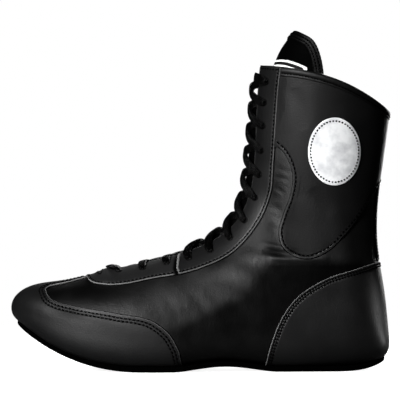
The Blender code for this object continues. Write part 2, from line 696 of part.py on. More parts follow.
def build_ankle_patch():
    """A plain oval film on the outer side of the shaft panel."""
    turn = np.linspace(0.0, 2.0 * math.pi, PATCH_POINTS, endpoint=False)
    oval = np.array(PATCH_CENTRE) + np.array(PATCH_RADII) * np.column_stack([np.cos(turn), np.sin(turn)])
    outline = prism_cutter("ankle_patch_outline", oval, -CUT_SIDE, 0.0)
    overlay("ankle_patch", OVERLAY_TOP + GAP, PATCH_WALL, silver, (outline, "INTERSECT"))


def build_binding():
    """A folded strip over the collar's edge, from one eyestay round the back to the other."""
    outer = GAP + BINDING_WALL
    inner = -UPPER_WALL - outer
    top = GAP + BINDING_WALL
    bevel = BINDING_WALL / 2
    profile = np.array([
        # out from the last, up from the edge
        (GAP, -BINDING_HEIGHT),
        (outer, -BINDING_HEIGHT),
        (outer, top - bevel),
        (outer - bevel, top),
        (inner + bevel, top),
        (inner, top - bevel),
        (inner, -BINDING_HEIGHT),
        (inner + BINDING_WALL, -BINDING_HEIGHT),
        (inner + BINDING_WALL, GAP),
        (GAP, GAP),
    ])
    steps = SEARCH_COLUMNS[SEARCH_COLUMNS <= 1.0]
    start = np.interp(BINDING_START_X, collar_frame(steps, -1)[0][:, 0], steps)
    t = np.concatenate([[start], SHELL_COLUMNS[SHELL_COLUMNS > start + BINDING_FIRST_STEP]])
    loops = []
    for side in (-1, 1):
        edge, out, up = collar_frame(t, side)
        loops.append(edge[:, None] + profile[:, :1] * out[:, None] + profile[:, 1:] * up[:, None])
    ring = np.concatenate([loops[0], loops[1][-2::-1]])
    shape = bmesh.new()
    add_grid(shape, np.concatenate([ring, ring[:, :1]], axis=1), False)
    bmesh.ops.remove_doubles(shape, verts=shape.verts, dist=MERGE_DISTANCE * MM)
    bmesh.ops.holes_fill(shape, edges=[edge for edge in shape.edges if edge.is_boundary])
    bmesh.ops.recalc_face_normals(shape, faces=shape.faces[:])
    object_from(shape, "collar_binding", parts, leather)


def build_eyelets(places):
    """A ring on the eyestay for each place, all with one mesh."""
    bpy.ops.mesh.primitive_torus_add(major_segments=EYELET_SEGMENTS, minor_segments=3,
                                     major_radius=EYELET_RADIUS * MM, minor_radius=EYELET_ROUND * MM)
    pattern = bpy.context.object
    ring = pattern.data
    ring.materials.append(black_metal)
    ring.shade_smooth()
    bpy.data.objects.remove(pattern)
    lift = OVERLAY_TOP + GAP + EYELET_ROUND
    for label, side in (("outer", -1), ("inner", 1)):
        for number, (p, t) in enumerate(places, 1):
            half = throat_half(p)
            eyelet = bpy.data.objects.new(f"eyelet_{label}_{number:02d}", ring)
            eyelet.location = Vector(raised(p, t, side, half, lift)) * MM
            eyelet.rotation_euler = Vector(last_normal(p, t, side, half)).to_track_quat("Z", "Y").to_euler()
            eyelet.parent = shoe
            parts.objects.link(eyelet)


def lace_crossing(name, place, next_place):
    """Two bars that cross over the tongue, as one surface: a diamond in the middle and four arms."""
    p, t = place
    end_p = p + LACE_STEP_SHARE * (next_place[0] - p)
    ends = []
    for side in (-1, 1):
        begin = raised(p, LACE_START_SHARE * t, side, throat_half(p), LACE_START_HEIGHT)
        end = raised(end_p, 0.0, -side, LACE_END_SHARE * throat_half(end_p), LACE_END_HEIGHT)
        ends.append((begin, end))
    begins = np.array([begin for begin, _ in ends])
    finishes = np.array([end for _, end in ends])
    share = np.linalg.norm(begins[1] - begins[0])
    share = share / (share + np.linalg.norm(finishes[1] - finishes[0]))
    middle_p = p + share * (end_p - p)
    middle = raised(middle_p, 0.0, -1, 0.0, LACE_MIDDLE_HEIGHT)
    normal = last_normal(middle_p, 0.0, -1, 0.0)
    runs = finishes - begins
    runs = unit(runs - (runs @ normal)[:, None] * normal)
    half = LACE_WIDTH / 2
    reach = half / np.linalg.norm(np.cross(*runs))
    shape = bmesh.new()
    arms = [(finishes[0], runs[0], runs[1]), (finishes[1], runs[1], -runs[0]),
            (begins[0], -runs[0], -runs[1]), (begins[1], -runs[1], runs[0])]
    diamond = []
    for _, run, other in arms:
        diamond.append(shape.verts.new(Vector(middle + reach * (run + other)) * MM))
    shape.faces.new(diamond)
    for number, (tip, run, other) in enumerate(arms):
        sideways = half * unit(other - (other @ run) * run)
        corners = [shape.verts.new(Vector(tip + sideways) * MM), shape.verts.new(Vector(tip - sideways) * MM)]
        shape.faces.new([diamond[number], corners[0], corners[1], diamond[number - 1]])
    bmesh.ops.recalc_face_normals(shape, faces=shape.faces[:])
    shape.faces.ensure_lookup_table()
    if shape.faces[0].normal.dot(Vector(normal)) < 0.0:
        bmesh.ops.reverse_faces(shape, faces=shape.faces[:])
    thicken(object_from(shape, name, parts, lace_cloth), LACE_THICKNESS, True)


def build_lace(places):
    """One bar in front, then a crossing between each pair of eyelets and the next."""
    p = places[0][0]
    half = LACE_END_SHARE * throat_half(p)
    tip = np.array([raised(p, 0.0, side, half, LACE_END_HEIGHT) for side in (-1, 1)])
    ahead = last_point(p + SECTION_NUDGE, 0.0, -1, 0.0) - last_point(p - SECTION_NUDGE, 0.0, -1, 0.0)
    forward = LACE_WIDTH / 2 * unit(ahead)
    shape = bmesh.new()
    add_grid(shape, np.stack([tip - forward, tip + forward]), False)
    thicken(object_from(shape, "lace_front_bar", parts, lace_cloth), LACE_THICKNESS, True)
    for number, (place, next_place) in enumerate(zip(places[:-1], places[1:]), 1):
        lace_crossing(f"lace_cross_{number:02d}", place, next_place)


clear_scene()
parts = collection_named("boxing_shoe")
cutters = collection_named("cutters", hidden=True)
shoe = bpy.data.objects.new("shoe_origin", None)
shoe.location = (-CENTRE_X * MM, -CENTRE_Y * MM, 0.0)
parts.objects.link(shoe)

leather = finish_material("black_leather", (0.012, 0.012, 0.013), 0.42)
rubber = finish_material("black_rubber", (0.010, 0.010, 0.010), 0.65)
board = finish_material("insole_board", (0.045, 0.042, 0.040), 0.85)
silver = finish_material("silver_film", (0.62, 0.63, 0.65), 0.35)
black_metal = finish_material("black_metal", (0.02, 0.02, 0.02), 0.35, 0.8)
lace_cloth = finish_material("black_lace", (0.012, 0.012, 0.012), 0.8)

flat_plate("outsole", sole_bottom, SOLE_THICKNESS, 0.0, parts, rubber)
flat_plate("insole", insole_bottom, INSOLE_THICKNESS, INSOLE_INSET, parts, board)
upper = last_shell("upper", parts, leather)
thicken(upper, UPPER_WALL, False)
build_tongue(parts, leather)
build_toe_cap()
build_heel_counter()
build_shaft_panel()
build_back_strip()
build_eyestay()
build_ankle_patch()
build_binding()
eyelet_places = [locate(x, z) for x, z in EYELETS]
build_eyelets(eyelet_places)
build_lace(eyelet_places)
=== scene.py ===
import math

import bmesh
import bpy
import numpy as np
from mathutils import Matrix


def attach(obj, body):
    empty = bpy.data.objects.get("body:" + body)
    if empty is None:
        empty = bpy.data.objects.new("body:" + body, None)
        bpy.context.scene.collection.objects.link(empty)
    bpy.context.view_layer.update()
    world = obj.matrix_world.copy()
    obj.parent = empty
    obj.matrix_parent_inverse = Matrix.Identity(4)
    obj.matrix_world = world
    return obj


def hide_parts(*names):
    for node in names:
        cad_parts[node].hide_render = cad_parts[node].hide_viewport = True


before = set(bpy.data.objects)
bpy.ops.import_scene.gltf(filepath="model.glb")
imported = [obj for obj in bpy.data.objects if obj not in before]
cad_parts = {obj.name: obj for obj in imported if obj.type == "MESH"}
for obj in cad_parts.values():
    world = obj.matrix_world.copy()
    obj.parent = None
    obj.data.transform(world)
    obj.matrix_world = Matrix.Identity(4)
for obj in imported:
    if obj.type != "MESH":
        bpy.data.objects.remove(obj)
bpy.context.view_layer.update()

# Outsole: one thin sheet of black rubber with toe spring, a low arch and a lifted heel edge.
# It is cut to the plan of the last and cemented under the upper. Lengths here and below are millimetres.
MM = 0.001
SHOE_SHIFT = np.array([-0.2, 1.5, 0.0])  # from the pattern's zero to the frame's
SOLE_TOE_X = -140.0
SOLE_HEEL_X = 141.2
SOLE_THICKNESS = 4.0
SOLE_EDGE_ROUND = 0.9
SOLE_STATIONS = 420
SOLE_STEP = 35.0
SOLE_PLAN = np.array([
    # centre, half width, for each 35 mm from the toe
    (5.0, 30.0), (1.5, 34.5), (-0.2, 41.7), (-2.1, 41.6), (-4.2, 35.8),
    (-4.2, 31.3), (-2.6, 30.0), (-1.0, 28.4), (0.0, 25.0),
])
TREAD_DEPTH = 0.7
TREAD_PITCH = 5.2
TREAD_ZIGZAG, TREAD_SWING = 9.0, 4.0
TREAD_BORDER, TREAD_SLOPE = 4.0, 2.0
SPRING_X, SPRING_RUN, SPRING_HEIGHT, SPRING_POWER = -40.0, -98.0, 33.0, 2.3
ARCH_X, ARCH_RUN, ARCH_HEIGHT, ARCH_POWER = -20.0, 78.0, 4.0, 1.5
HEEL_X, HEEL_RUN, HEEL_HEIGHT, HEEL_POWER = 100.0, 39.5, 6.5, 3
TOE_ROUND, TOE_ROUND_POWER = 45.0, 2.2
HEEL_ROUND, HEEL_ROUND_POWER = 38.0, 2.4
UP = np.array([0.0, 0.0, 1.0])
ACROSS = np.array([0.0, 1.0, 0.0])
BOTH_SIDES = (-1, 1)  # outer, inner


def natural_spline(rows, at):
    """Natural cubic spline through evenly spaced rows, read at fractional row numbers."""
    count = len(rows)
    system = np.eye(count)
    bend = np.zeros_like(rows)
    inner = np.arange(1, count - 1)
    system[inner, inner - 1] = 1.0
    system[inner, inner] = 4.0
    system[inner, inner + 1] = 1.0
    bend[inner] = 6.0 * (rows[inner - 1] - 2.0 * rows[inner] + rows[inner + 1])
    second = np.linalg.solve(system, bend)
    at = np.asarray(at, float)
    row = np.clip(np.floor(at).astype(int), 0, count - 2)
    u = (at - row)[..., None]
    v = 1.0 - u
    straight = v * rows[row] + u * rows[row + 1]
    return straight + ((v**3 - v) * second[row] + (u**3 - u) * second[row + 1]) / 6.0


def ramp(value, start, run):
    """Straight rise from 0 at a start to 1 after a run, held at its ends. A negative run leads back."""
    return np.clip((value - start) / run, 0.0, 1.0)


def superellipse(share, power):
    """Height of a superellipse at a share of its half width: the root of one less the share's power."""
    return (1.0 - share**power)**(1.0 / power)


def sole_bottom(x):
    """Height of the tread: a power curve up to the toe, a sine for the arch, a power curve at the heel."""
    x = np.asarray(x, float)
    spring = np.maximum((x - SPRING_X) / SPRING_RUN, 0.0)
    arch = np.sin(math.pi * ramp(x, ARCH_X, ARCH_RUN))
    heel = np.maximum((x - HEEL_X) / HEEL_RUN, 0.0)
    lifted_ends = SPRING_HEIGHT * spring**SPRING_POWER + HEEL_HEIGHT * heel**HEEL_POWER
    return lifted_ends + ARCH_HEIGHT * arch**ARCH_POWER


def sole_top(x):
    """Height of the sole's upper face: that of the tread and the thickness."""
    return sole_bottom(x) + SOLE_THICKNESS


def sole_edge(x, side, inset=0.0):
    """y of the sole's edge: centre line and half width by splines, closed by superellipse ends."""
    x = np.asarray(x, float)
    plan = natural_spline(SOLE_PLAN, (x - SOLE_TOE_X) / SOLE_STEP)
    toe = ramp(x, SOLE_TOE_X + TOE_ROUND, inset - TOE_ROUND)
    heel = ramp(x, SOLE_HEEL_X - HEEL_ROUND, HEEL_ROUND - inset)
    round_ends = superellipse(toe, TOE_ROUND_POWER) * superellipse(heel, HEEL_ROUND_POWER)
    return plan[..., 0] + side * (plan[..., 1] - inset) * round_ends


def sole_outline(inset):
    """x along the sole from toe to heel, close together at the ends, and y of both edges."""
    stations = np.linspace(0.0, math.pi, SOLE_STATIONS)
    middle = (SOLE_TOE_X + SOLE_HEEL_X) / 2
    x = middle - ((SOLE_HEEL_X - SOLE_TOE_X) / 2 - inset) * np.cos(stations)
    return x, sole_edge(x, -1, inset), sole_edge(x, 1, inset)


def plate(inset, columns, height):
    """Grid of a plate with the sole's plan: straight lines across from edge to edge, at height(x, y)."""
    x, low, high = sole_outline(inset)
    across = np.linspace(-1.0, 1.0, columns)
    y = (low + high)[:, None] / 2 + (high - low)[:, None] / 2 * across
    x = x[:, None] + 0.0 * y
    return np.stack([x, y, height(x, y)], axis=-1)


def unit(vectors):
    """The vectors divided by their lengths."""
    return vectors / np.maximum(np.linalg.norm(vectors, axis=-1, keepdims=True), 1e-9)


def piece(name, blocks, finish, stands_for=(), sharp=55.0):
    """A mesh object from grids: each block is points in mm, outward directions, and values at its points.

    The quads of a block face the way that its outward directions point on the whole. Doubled points along
    seams and at poles are merged. Values named uv_x and uv_y become the UV map, others point attributes.
    """
    points, quads, marks = [], [], {}
    count = 0
    for grid, outward, values in blocks:
        rows, columns = grid.shape[:2]
        index = count + np.arange(rows * columns).reshape(rows, columns)
        faces = np.stack([index[:-1, :-1], index[:-1, 1:], index[1:, 1:], index[1:, :-1]], axis=-1)
        facing = np.cross(grid[1:, 1:] - grid[:-1, :-1], grid[1:, :-1] - grid[:-1, 1:])
        towards = np.sum(facing * np.broadcast_to(outward, grid.shape)[:-1, :-1])
        quads.append(faces.reshape(-1, 4)[:, ::1 if towards > 0.0 else -1])
        points.append(grid.reshape(-1, 3))
        for key, value in values.items():
            marks.setdefault(key, []).append((count, np.broadcast_to(value, (rows, columns)).ravel()))
        count += rows * columns
    points = (np.concatenate(points) + SHOE_SHIFT) * MM
    quads = np.concatenate(quads).astype(np.int32)
    mesh = bpy.data.meshes.new(name)
    mesh.vertices.add(len(points))
    mesh.vertices.foreach_set("co", points.ravel().astype(np.float32))
    mesh.loops.add(quads.size)
    mesh.loops.foreach_set("vertex_index", quads.ravel())
    mesh.polygons.add(len(quads))
    mesh.polygons.foreach_set("loop_start", np.arange(0, quads.size, 4, dtype=np.int32))
    full = {}
    for key, parts in marks.items():
        full[key] = np.zeros(len(points), np.float32)
        for start, value in parts:
            full[key][start:start + len(value)] = value
    if "uv_x" in full:
        corner = quads.ravel()
        flat = np.stack([full.pop("uv_x")[corner], full.pop("uv_y")[corner]], axis=-1)
        mesh.uv_layers.new(name="UVMap").data.foreach_set("uv", flat.ravel())
    for key, value in full.items():
        mesh.attributes.new(key, "FLOAT", "POINT").data.foreach_set("value", value)
    mesh.update(calc_edges=True)
    shape = bmesh.new()
    shape.from_mesh(mesh)
    bmesh.ops.remove_doubles(shape, verts=shape.verts, dist=0.004 * MM)
    shape.to_mesh(mesh)
    shape.free()
    mesh.shade_smooth()
    mesh.set_sharp_from_angle(angle=math.radians(sharp))
    mesh.materials.append(finish)
    obj = bpy.data.objects.new(name, mesh)
    bpy.context.collection.objects.link(obj)
    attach(obj, "root")
    if stands_for:
        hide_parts(*stands_for)
    return obj


def finish_named(name, colour, roughness, gloss=0.5):
    """A new material with its node tree and its shader, with colour, roughness and specular level set."""
    material = bpy.data.materials.new(name)
    material.use_nodes = True
    tree = material.node_tree
    shader = tree.nodes["Principled BSDF"]
    shader.inputs["Base Color"].default_value = (*colour, 1.0)
    shader.inputs["Roughness"].default_value = roughness
    shader.inputs["Specular IOR Level"].default_value = gloss
    return material, tree, shader


def add_node(tree, kind, inputs=(), **settings):
    """A node with its settings and its input values or links, given as pairs of a socket and a value."""
    made = tree.nodes.new(kind)
    for key, value in settings.items():
        setattr(made, key, value)
    for socket, value in inputs:
        if isinstance(value, bpy.types.NodeSocket):
            tree.links.new(value, made.inputs[socket])
        else:
            made.inputs[socket].default_value = value
    return made


def object_place(tree):
    """The place on a piece, in the shoe's own frame."""
    return add_node(tree, "ShaderNodeTexCoord").outputs["Object"]


def texture(tree, kind, place, sockets, out="Fac", **settings):
    """An output of a procedural texture that is read at a place, with values for its sockets."""
    made = add_node(tree, "ShaderNodeTex" + kind, [("Vector", place), *sockets.items()], **settings)
    return made.outputs[out]


def bump_from(tree, shader, height, strength, distance, below=None):
    """A bump of a height in metres, laid over another bump where one is given."""
    links = [("Height", height), ("Strength", strength), ("Distance", distance)]
    if below is not None:
        links.append(("Normal", below))
    made = add_node(tree, "ShaderNodeBump", links)
    tree.links.new(made.outputs["Normal"], shader.inputs["Normal"])
    return made.outputs["Normal"]


def tread_height(x, y):
    """Tread: shallow zigzag ribs, pressed in everywhere but on a plain border."""
    zigzag = np.abs((y / TREAD_ZIGZAG) % 2.0 - 1.0) * TREAD_SWING
    rib = 0.5 + 0.5 * np.cos(2 * math.pi * (x + zigzag) / TREAD_PITCH)
    border = np.minimum(y - sole_edge(x, -1), sole_edge(x, 1) - y)
    return sole_bottom(x) + TREAD_DEPTH * ramp(border, TREAD_BORDER, TREAD_SLOPE) * rib**2


rubber, tree, shader = finish_named("black_rubber", (0.0004, 0.0004, 0.0004), 0.95, 0.0)
speckle = texture(tree, "Noise", object_place(tree), {"Scale": 900.0, "Detail": 3.0})
bump_from(tree, shader, speckle, 0.25, 0.00012)

SOLE_SIDE = np.array([
    # inset from the edge, share of the thickness from the top
    (0.9, 0.0), (0.4, 0.05), (0.1, 0.16), (0.0, 0.3), (0.12, 0.44), (0.12, 0.52), (0.0, 0.62),
    (0.0, 0.74), (0.1, 0.86), (0.4, 0.96), (0.9, 1.0),
])
sole_blocks = [
    (plate(SOLE_EDGE_ROUND, 24, lambda x, y: sole_top(x)), UP, {}),
    (plate(SOLE_EDGE_ROUND, 70, tread_height), -UP, {}),
]
for side in BOTH_SIDES:
    rows = []
    for inset, share in SOLE_SIDE:
        x, low, high = sole_outline(inset)
        rows.append(np.stack([x, low if side < 0 else high, sole_top(x) - share * SOLE_THICKNESS], axis=-1))
    sole_blocks.append((np.stack(rows), side * ACROSS, {}))
piece("outsole_rubber", sole_blocks, rubber, ["outsole"])

# Insole: a thin board covered with dark cloth that closes the bottom of the upper on the inside.
# It lies on the turned-in margin of the upper and shows only through the collar.
INSOLE_INSET = 10.5
INSOLE_THICKNESS = 2.4
INSOLE_LIFT = 3.8

cloth, tree, shader = finish_named("insole_cloth", (0.03, 0.029, 0.028), 0.9)
place = object_place(tree)
under = None
for way in ("X", "Y"):
    threads = texture(tree, "Wave", place, {"Scale": 420.0, "Distortion": 0.6}, bands_direction=way)
    under = bump_from(tree, shader, threads, 0.3, 0.0002, under)

board_top = plate(INSOLE_INSET, 24, lambda x, y: sole_top(x) + INSOLE_LIFT + INSOLE_THICKNESS)
board_bottom = board_top - INSOLE_THICKNESS * UP
board_blocks = [(board_top, UP, {}), (board_bottom, -UP, {})]
for column, side in zip((0, -1), BOTH_SIDES):
    wall = np.stack([board_top[:, column], board_bottom[:, column]])
    board_blocks.append((wall, side * ACROSS, {}))
piece("insole_board", board_blocks, cloth, ["insole"])

# Upper: smooth black cow leather about 2 mm thick, lasted over the form, with the throat and collar open.
# Its margin is turned in under the foot. Where the foot bends, the leather is softly creased. Painted shade
# darkens it and takes its gloss where it turns from the light: over the vamp's front, the back of the
# quarter, beside folds and under overlay edges.
FEATHER_GAP = 0.5
OPENING_INSET = 12.0
UPPER_WALL = 2.0
OPENING_TOE, OPENING_TOE_RUN = 3.0, 1.6
OPENING_HEEL, OPENING_HEEL_RUN = 14.8, -2.2
THROAT_START = 7.35
THROAT_ROUND = 0.45
THROAT_HALF, THROAT_SPREAD = 8.5, 4.0
COLLAR = 21.0
SECTION_COLUMNS = ("front_x", "front_z", "back_x", "back_z", "lateral", "medial", "ridge", "base",
                   "widest", "round_top", "round_bottom", "bow")
MIRRORED_COLUMNS = ("back_x", "back_z", "front_x", "front_z", "medial", "lateral", "base", "ridge",
                    "widest", "round_bottom", "round_top", "bow")
TIP_ROWS = 3
TIP_BLEND = 0.3
TIP_WAY = np.array([-1.0, 0.0, 0.1])
PROBE = 0.01
ON_SOLE = math.nan
SECTIONS = np.array([
    (-143.5, 46.8, -143.5, 46.8, 5.0, 5.0, 5.0, 5.0, 0.50, 2.00, 2.00, 0.0),
    (-142.6, 51.8, -142.2, 41.8, -3.6, 13.4, 5.0, 5.0, 0.50, 2.00, 2.05, 0.0),
    (-139.3, 56.6, -138.0, ON_SOLE, -12.6, 21.2, 5.0, 5.0, 0.50, 2.05, 2.50, 0.0),
    (-133.0, 61.0, -131.0, ON_SOLE, -21.8, 27.8, 4.8, 4.4, 0.52, 2.15, 3.20, 0.0),
    (-123.0, 64.3, -120.5, ON_SOLE, -30.2, 34.2, 4.4, 3.4, 0.55, 2.22, 3.60, 0.0),
    (-109.0, 66.3, -106.0, ON_SOLE, -37.2, 39.4, 3.9, 1.6, 0.58, 2.25, 3.60, 0.0),
    (-92.0, 69.2, -89.5, ON_SOLE, -42.6, 43.2, 3.4, 0.6, 0.62, 2.22, 3.50, 0.0),
    (-73.0, 74.2, -70.5, ON_SOLE, -46.4, 45.2, 2.9, -0.2, 0.66, 2.14, 3.40, 0.0),
    (-52.0, 79.3, -48.5, ON_SOLE, -48.2, 44.8, 2.4, -1.2, 0.69, 2.05, 3.40, 0.0),
    (-31.0, 84.3, -24.5, ON_SOLE, -47.8, 42.2, 1.9, -2.6, 0.71, 1.96, 3.40, 0.0),
    (-12.0, 90.0, 1.0, ON_SOLE, -45.4, 38.8, 1.5, -4.0, 0.72, 1.90, 3.40, 0.0),
    (5.0, 97.2, 27.5, ON_SOLE, -42.6, 36.2, 1.1, -4.2, 0.71, 1.88, 3.40, 0.0),
    (19.0, 106.6, 55.0, ON_SOLE, -40.2, 34.8, 0.8, -3.2, 0.69, 1.88, 3.40, 0.0),
    (28.6, 118.0, 83.0, ON_SOLE, -38.0, 34.0, 0.5, -1.8, 0.66, 1.90, 3.60, 0.0),
    (34.4, 131.0, 111.0, ON_SOLE, -36.4, 33.4, 0.3, -0.6, 0.62, 1.94, 3.90, 0.0),
    (37.7, 145.0, 138.9, ON_SOLE, -35.2, 32.9, 0.1, 0.0, 0.58, 1.98, 3.60, 0.0),
    (39.5, 159.5, 142.8, 30.0, -34.6, 32.8, 0.0, 0.0, 0.55, 2.02, 2.80, 0.0),
    (40.6, 174.0, 139.8, 60.0, -34.6, 33.2, 0.0, 0.0, 0.53, 2.05, 2.25, 0.6),
    (41.4, 188.5, 135.0, 92.5, -35.2, 34.2, 0.0, 0.0, 0.52, 2.08, 2.00, 2.0),
    (42.3, 203.0, 134.9, 126.5, -36.8, 36.0, 0.0, 0.0, 0.51, 2.10, 1.95, 4.0),
    (43.5, 217.5, 139.3, 162.0, -39.0, 38.2, 0.0, 0.0, 0.50, 2.12, 1.95, 6.0),
    (45.2, 232.0, 143.9, 195.4, -41.2, 40.2, 0.0, 0.0, 0.50, 2.14, 2.00, 7.5),
    (50.5, 248.5, 148.6, 227.2, -42.6, 41.6, 0.0, 0.0, 0.50, 2.16, 2.04, 4.0),
    (60.0, 264.5, 153.0, 258.0, -44.0, 43.0, 0.0, 0.0, 0.50, 2.18, 2.02, -6.0),
])
FOLDS = np.array([
    # side (0 is both), start x and z, end x and z, bend, width, depth
    (0, 52.0, 85.7, 97.0, 84.7, -0.4, 2.3, -1.15),
    (0, 47.0, 90.4, 74.0, 87.6, 0.2, 2.2, 0.45),
    (0, 44.0, 97.5, 71.0, 90.0, 0.3, 2.2, -0.5),
    (0, 57.0, 153.5, 67.0, 150.5, 0.5, 1.6, 0.08),
    (0, 56.5, 146.0, 67.0, 144.5, 0.6, 1.4, 0.14),
    (0, 55.5, 139.0, 64.0, 133.5, 0.8, 1.5, 0.12),
    (0, 53.5, 125.0, 62.0, 121.0, 0.5, 2.2, 0.12),
    (0, 50.5, 111.0, 58.0, 105.5, 0.5, 1.9, 0.16),
    (-1, -27.0, 58.0, -15.0, 37.0, 1.6, 3.0, 0.1),
    (-1, -9.0, 62.0, 8.0, 35.0, 2.0, 3.5, 0.14),
    (-1, 11.0, 70.0, 45.0, 54.0, 3.2, 5.0, 0.24),
    (-1, 27.0, 83.0, 58.0, 70.0, 2.2, 4.0, 0.2),
    (-1, 21.0, 52.0, 43.0, 35.0, 2.0, 4.6, 0.16),
    (1, -22.0, 58.0, -7.0, 36.0, 1.6, 3.0, 0.24),
    (1, -4.0, 61.0, 11.0, 36.0, 1.8, 3.4, 0.26),
    (1, 15.0, 74.0, 48.0, 58.0, 3.0, 5.0, 0.38),
    (1, 30.0, 85.0, 57.0, 74.0, 2.0, 3.8, 0.32),
    (0, -79.0, 50.0, -70.0, 63.0, 1.0, 2.6, 0.06),
    (0, -61.0, 48.0, -53.0, 64.0, 1.2, 2.8, 0.07),
    (0, -45.0, 44.0, -37.0, 66.0, 1.0, 3.0, 0.08),
    (0, 72.0, 214.0, 78.0, 182.0, 1.5, 5.0, 0.3),
    (0, 118.0, 200.0, 124.0, 150.0, 3.0, 6.5, 0.4),
    (0, 84.0, 138.0, 99.0, 118.0, 2.0, 5.5, 0.35),
])
RIDGE_OFF, RIDGE_SHARE = 1.9, 0.45
EDGE_GREY = (0.115, 0.115, 0.115)
# Near black that painted shade takes the leather towards.
SHADE_BLACK = (0.0005, 0.0005, 0.0005)
# Painted shade: tilted bells that darken the upper and take its gloss beside folds and overlay edges.
UPPER_SHADE_BELLS = np.array([
    # middle x and z in the side view, length, width, tilt in degrees, depth
    (52.0, 112.0, 30.0, 18.0, 90.0, 0.9), (36.0, 90.0, 18.0, 13.0, 40.0, 0.82),
    (14.0, 81.5, 14.0, 4.5, 26.0, 0.65), (57.0, 88.6, 14.0, 2.6, -6.0, 0.92),
    (55.0, 95.0, 12.0, 6.0, 90.0, 0.6), (-33.0, 42.0, 14.0, 9.0, -35.0, 0.45),
    (60.0, 147.0, 12.0, 6.0, 90.0, 0.45),
])
# Painted shade over the vamp's front by the toe cap and over the back of the quarter, which turn from the
# light.
FRONT_X, FRONT_RUN, FRONT_SHADE = -22.0, -60.0, 0.75
QUARTER_START = ((30.0, 56.0, 72.0, 84.0), (-39.0, 14.0, 24.0, 34.0))  # z, x
QUARTER_SHADE = ((12.0, 35.0, 70.0), (0.55, 0.78, 0.93))  # z, depth
QUARTER_RUN, QUARTER_TOP, QUARTER_FADE = 26.0, 87.0, -7.0


def section_table():
    """The section rows with the sole's height filled in, led by rows mirrored through the toe tip."""
    rows = SECTIONS.copy()
    back_x, back_z, widest = (SECTION_COLUMNS.index(word) for word in ("back_x", "back_z", "widest"))
    on_sole = np.isnan(rows[:, back_z])
    rows[on_sole, back_z] = sole_top(rows[on_sole, back_x]) + FEATHER_GAP
    swapped = rows[TIP_ROWS:0:-1][:, [SECTION_COLUMNS.index(word) for word in MIRRORED_COLUMNS]]
    swapped[:, widest] = 1.0 - swapped[:, widest]
    return np.vstack([swapped, rows])


SECTION_ROWS = section_table()
ON_SOLE_FIRST, ON_SOLE_LAST = np.flatnonzero(np.isnan(SECTIONS[:, SECTION_COLUMNS.index("back_z")]))[[0, -1]]


def opening_share(p):
    """How much of its full width the opening underneath has: sines that taper it to nought at both ends."""
    toe = ramp(p, OPENING_TOE, OPENING_TOE_RUN)
    heel = ramp(p, OPENING_HEEL, OPENING_HEEL_RUN)
    return (np.sin(math.pi / 2 * toe) * np.sin(math.pi / 2 * heel))**2


def throat_half(p):
    """Half the throat's width: nought on the vamp, then a round end and two slowly parting edges."""
    p = np.asarray(p, float)
    round_end = ramp(p, THROAT_START, THROAT_ROUND)
    along = ramp(p, THROAT_START, COLLAR - THROAT_START)
    return (THROAT_HALF + THROAT_SPREAD * along) * np.sqrt(1.0 - (1.0 - round_end)**2)


def last_point(p, t, side, half_gap):
    """A point of the last at section p.

    From t = 0 to 1 a superellipse arc runs from the ridge, or from half_gap beside it, to the widest point.
    From 1 to 2 a second arc goes on to the sole's edge, or to the back line where the section is closed.
    """
    p, t, half_gap = np.broadcast_arrays(np.asarray(p, float), t, half_gap)
    row = dict(zip(SECTION_COLUMNS, np.moveaxis(natural_spline(SECTION_ROWS, p + TIP_ROWS), -1, 0)))
    outline = row["lateral"] if side < 0 else row["medial"]
    back_x = row["back_x"]
    on_sole = (p > ON_SOLE_FIRST) & (p < ON_SOLE_LAST)
    back_z = np.where(on_sole, sole_top(back_x) + FEATHER_GAP, row["back_z"])
    base = row["base"] + (sole_edge(back_x, side, OPENING_INSET) - row["base"]) * opening_share(p)
    top, bottom = row["round_top"], row["round_bottom"]
    reach = np.abs(outline - row["ridge"])
    start = np.clip(half_gap / np.maximum(reach, half_gap + 1e-6), 0.0, 1.0)
    start_angle = np.arctan2(start, superellipse(start, top))
    angle = start_angle + (math.pi / 2 - start_angle) * np.minimum(t, 1.0)
    sine, cosine = np.sin(angle), np.cos(angle)
    radius = (np.abs(cosine)**top + np.abs(sine)**top)**(-1.0 / top)
    top_y = row["ridge"] + (outline - row["ridge"]) * radius * sine
    top_along = row["widest"] * (1.0 - radius * cosine)
    turn = math.pi / 2 * np.clip(t - 1.0, 0.0, 1.0)
    sine, cosine = np.sin(turn), np.cos(turn)
    radius = (cosine**bottom + sine**bottom)**(-1.0 / bottom)
    low_y = base + (outline - base) * radius * cosine
    low_along = row["widest"] + (1.0 - row["widest"]) * radius * sine
    y = np.where(t <= 1.0, top_y, low_y)
    along = np.where(t <= 1.0, top_along, low_along)
    run_x = back_x - row["front_x"]
    run_z = back_z - row["front_z"]
    length = np.maximum(np.hypot(run_x, run_z), 1e-6)
    lift = 4.0 * row["bow"] * along * (1.0 - along)
    x = row["front_x"] + run_x * along - run_z / length * lift
    z = row["front_z"] + run_z * along + run_x / length * lift
    return np.stack([x, y, z], axis=-1)


def last_normal(p, t, side, half_gap):
    """Outward unit normal from differences of last_point, turned smoothly to straight ahead at the tip."""
    p, t = np.broadcast_arrays(np.asarray(p, float), np.asarray(t, float))
    inner = np.maximum(p, 0.05)
    along = last_point(inner + PROBE, t, side, half_gap) - last_point(inner - PROBE, t, side, half_gap)
    down = last_point(inner, t + PROBE, side, half_gap) - last_point(inner, t - PROBE, side, half_gap)
    normal = unit(np.cross(down, along) if side < 0 else np.cross(along, down))
    share = ramp(p, 0.0, TIP_BLEND)[..., None]
    return unit(share * normal + (1.0 - share) * TIP_WAY)


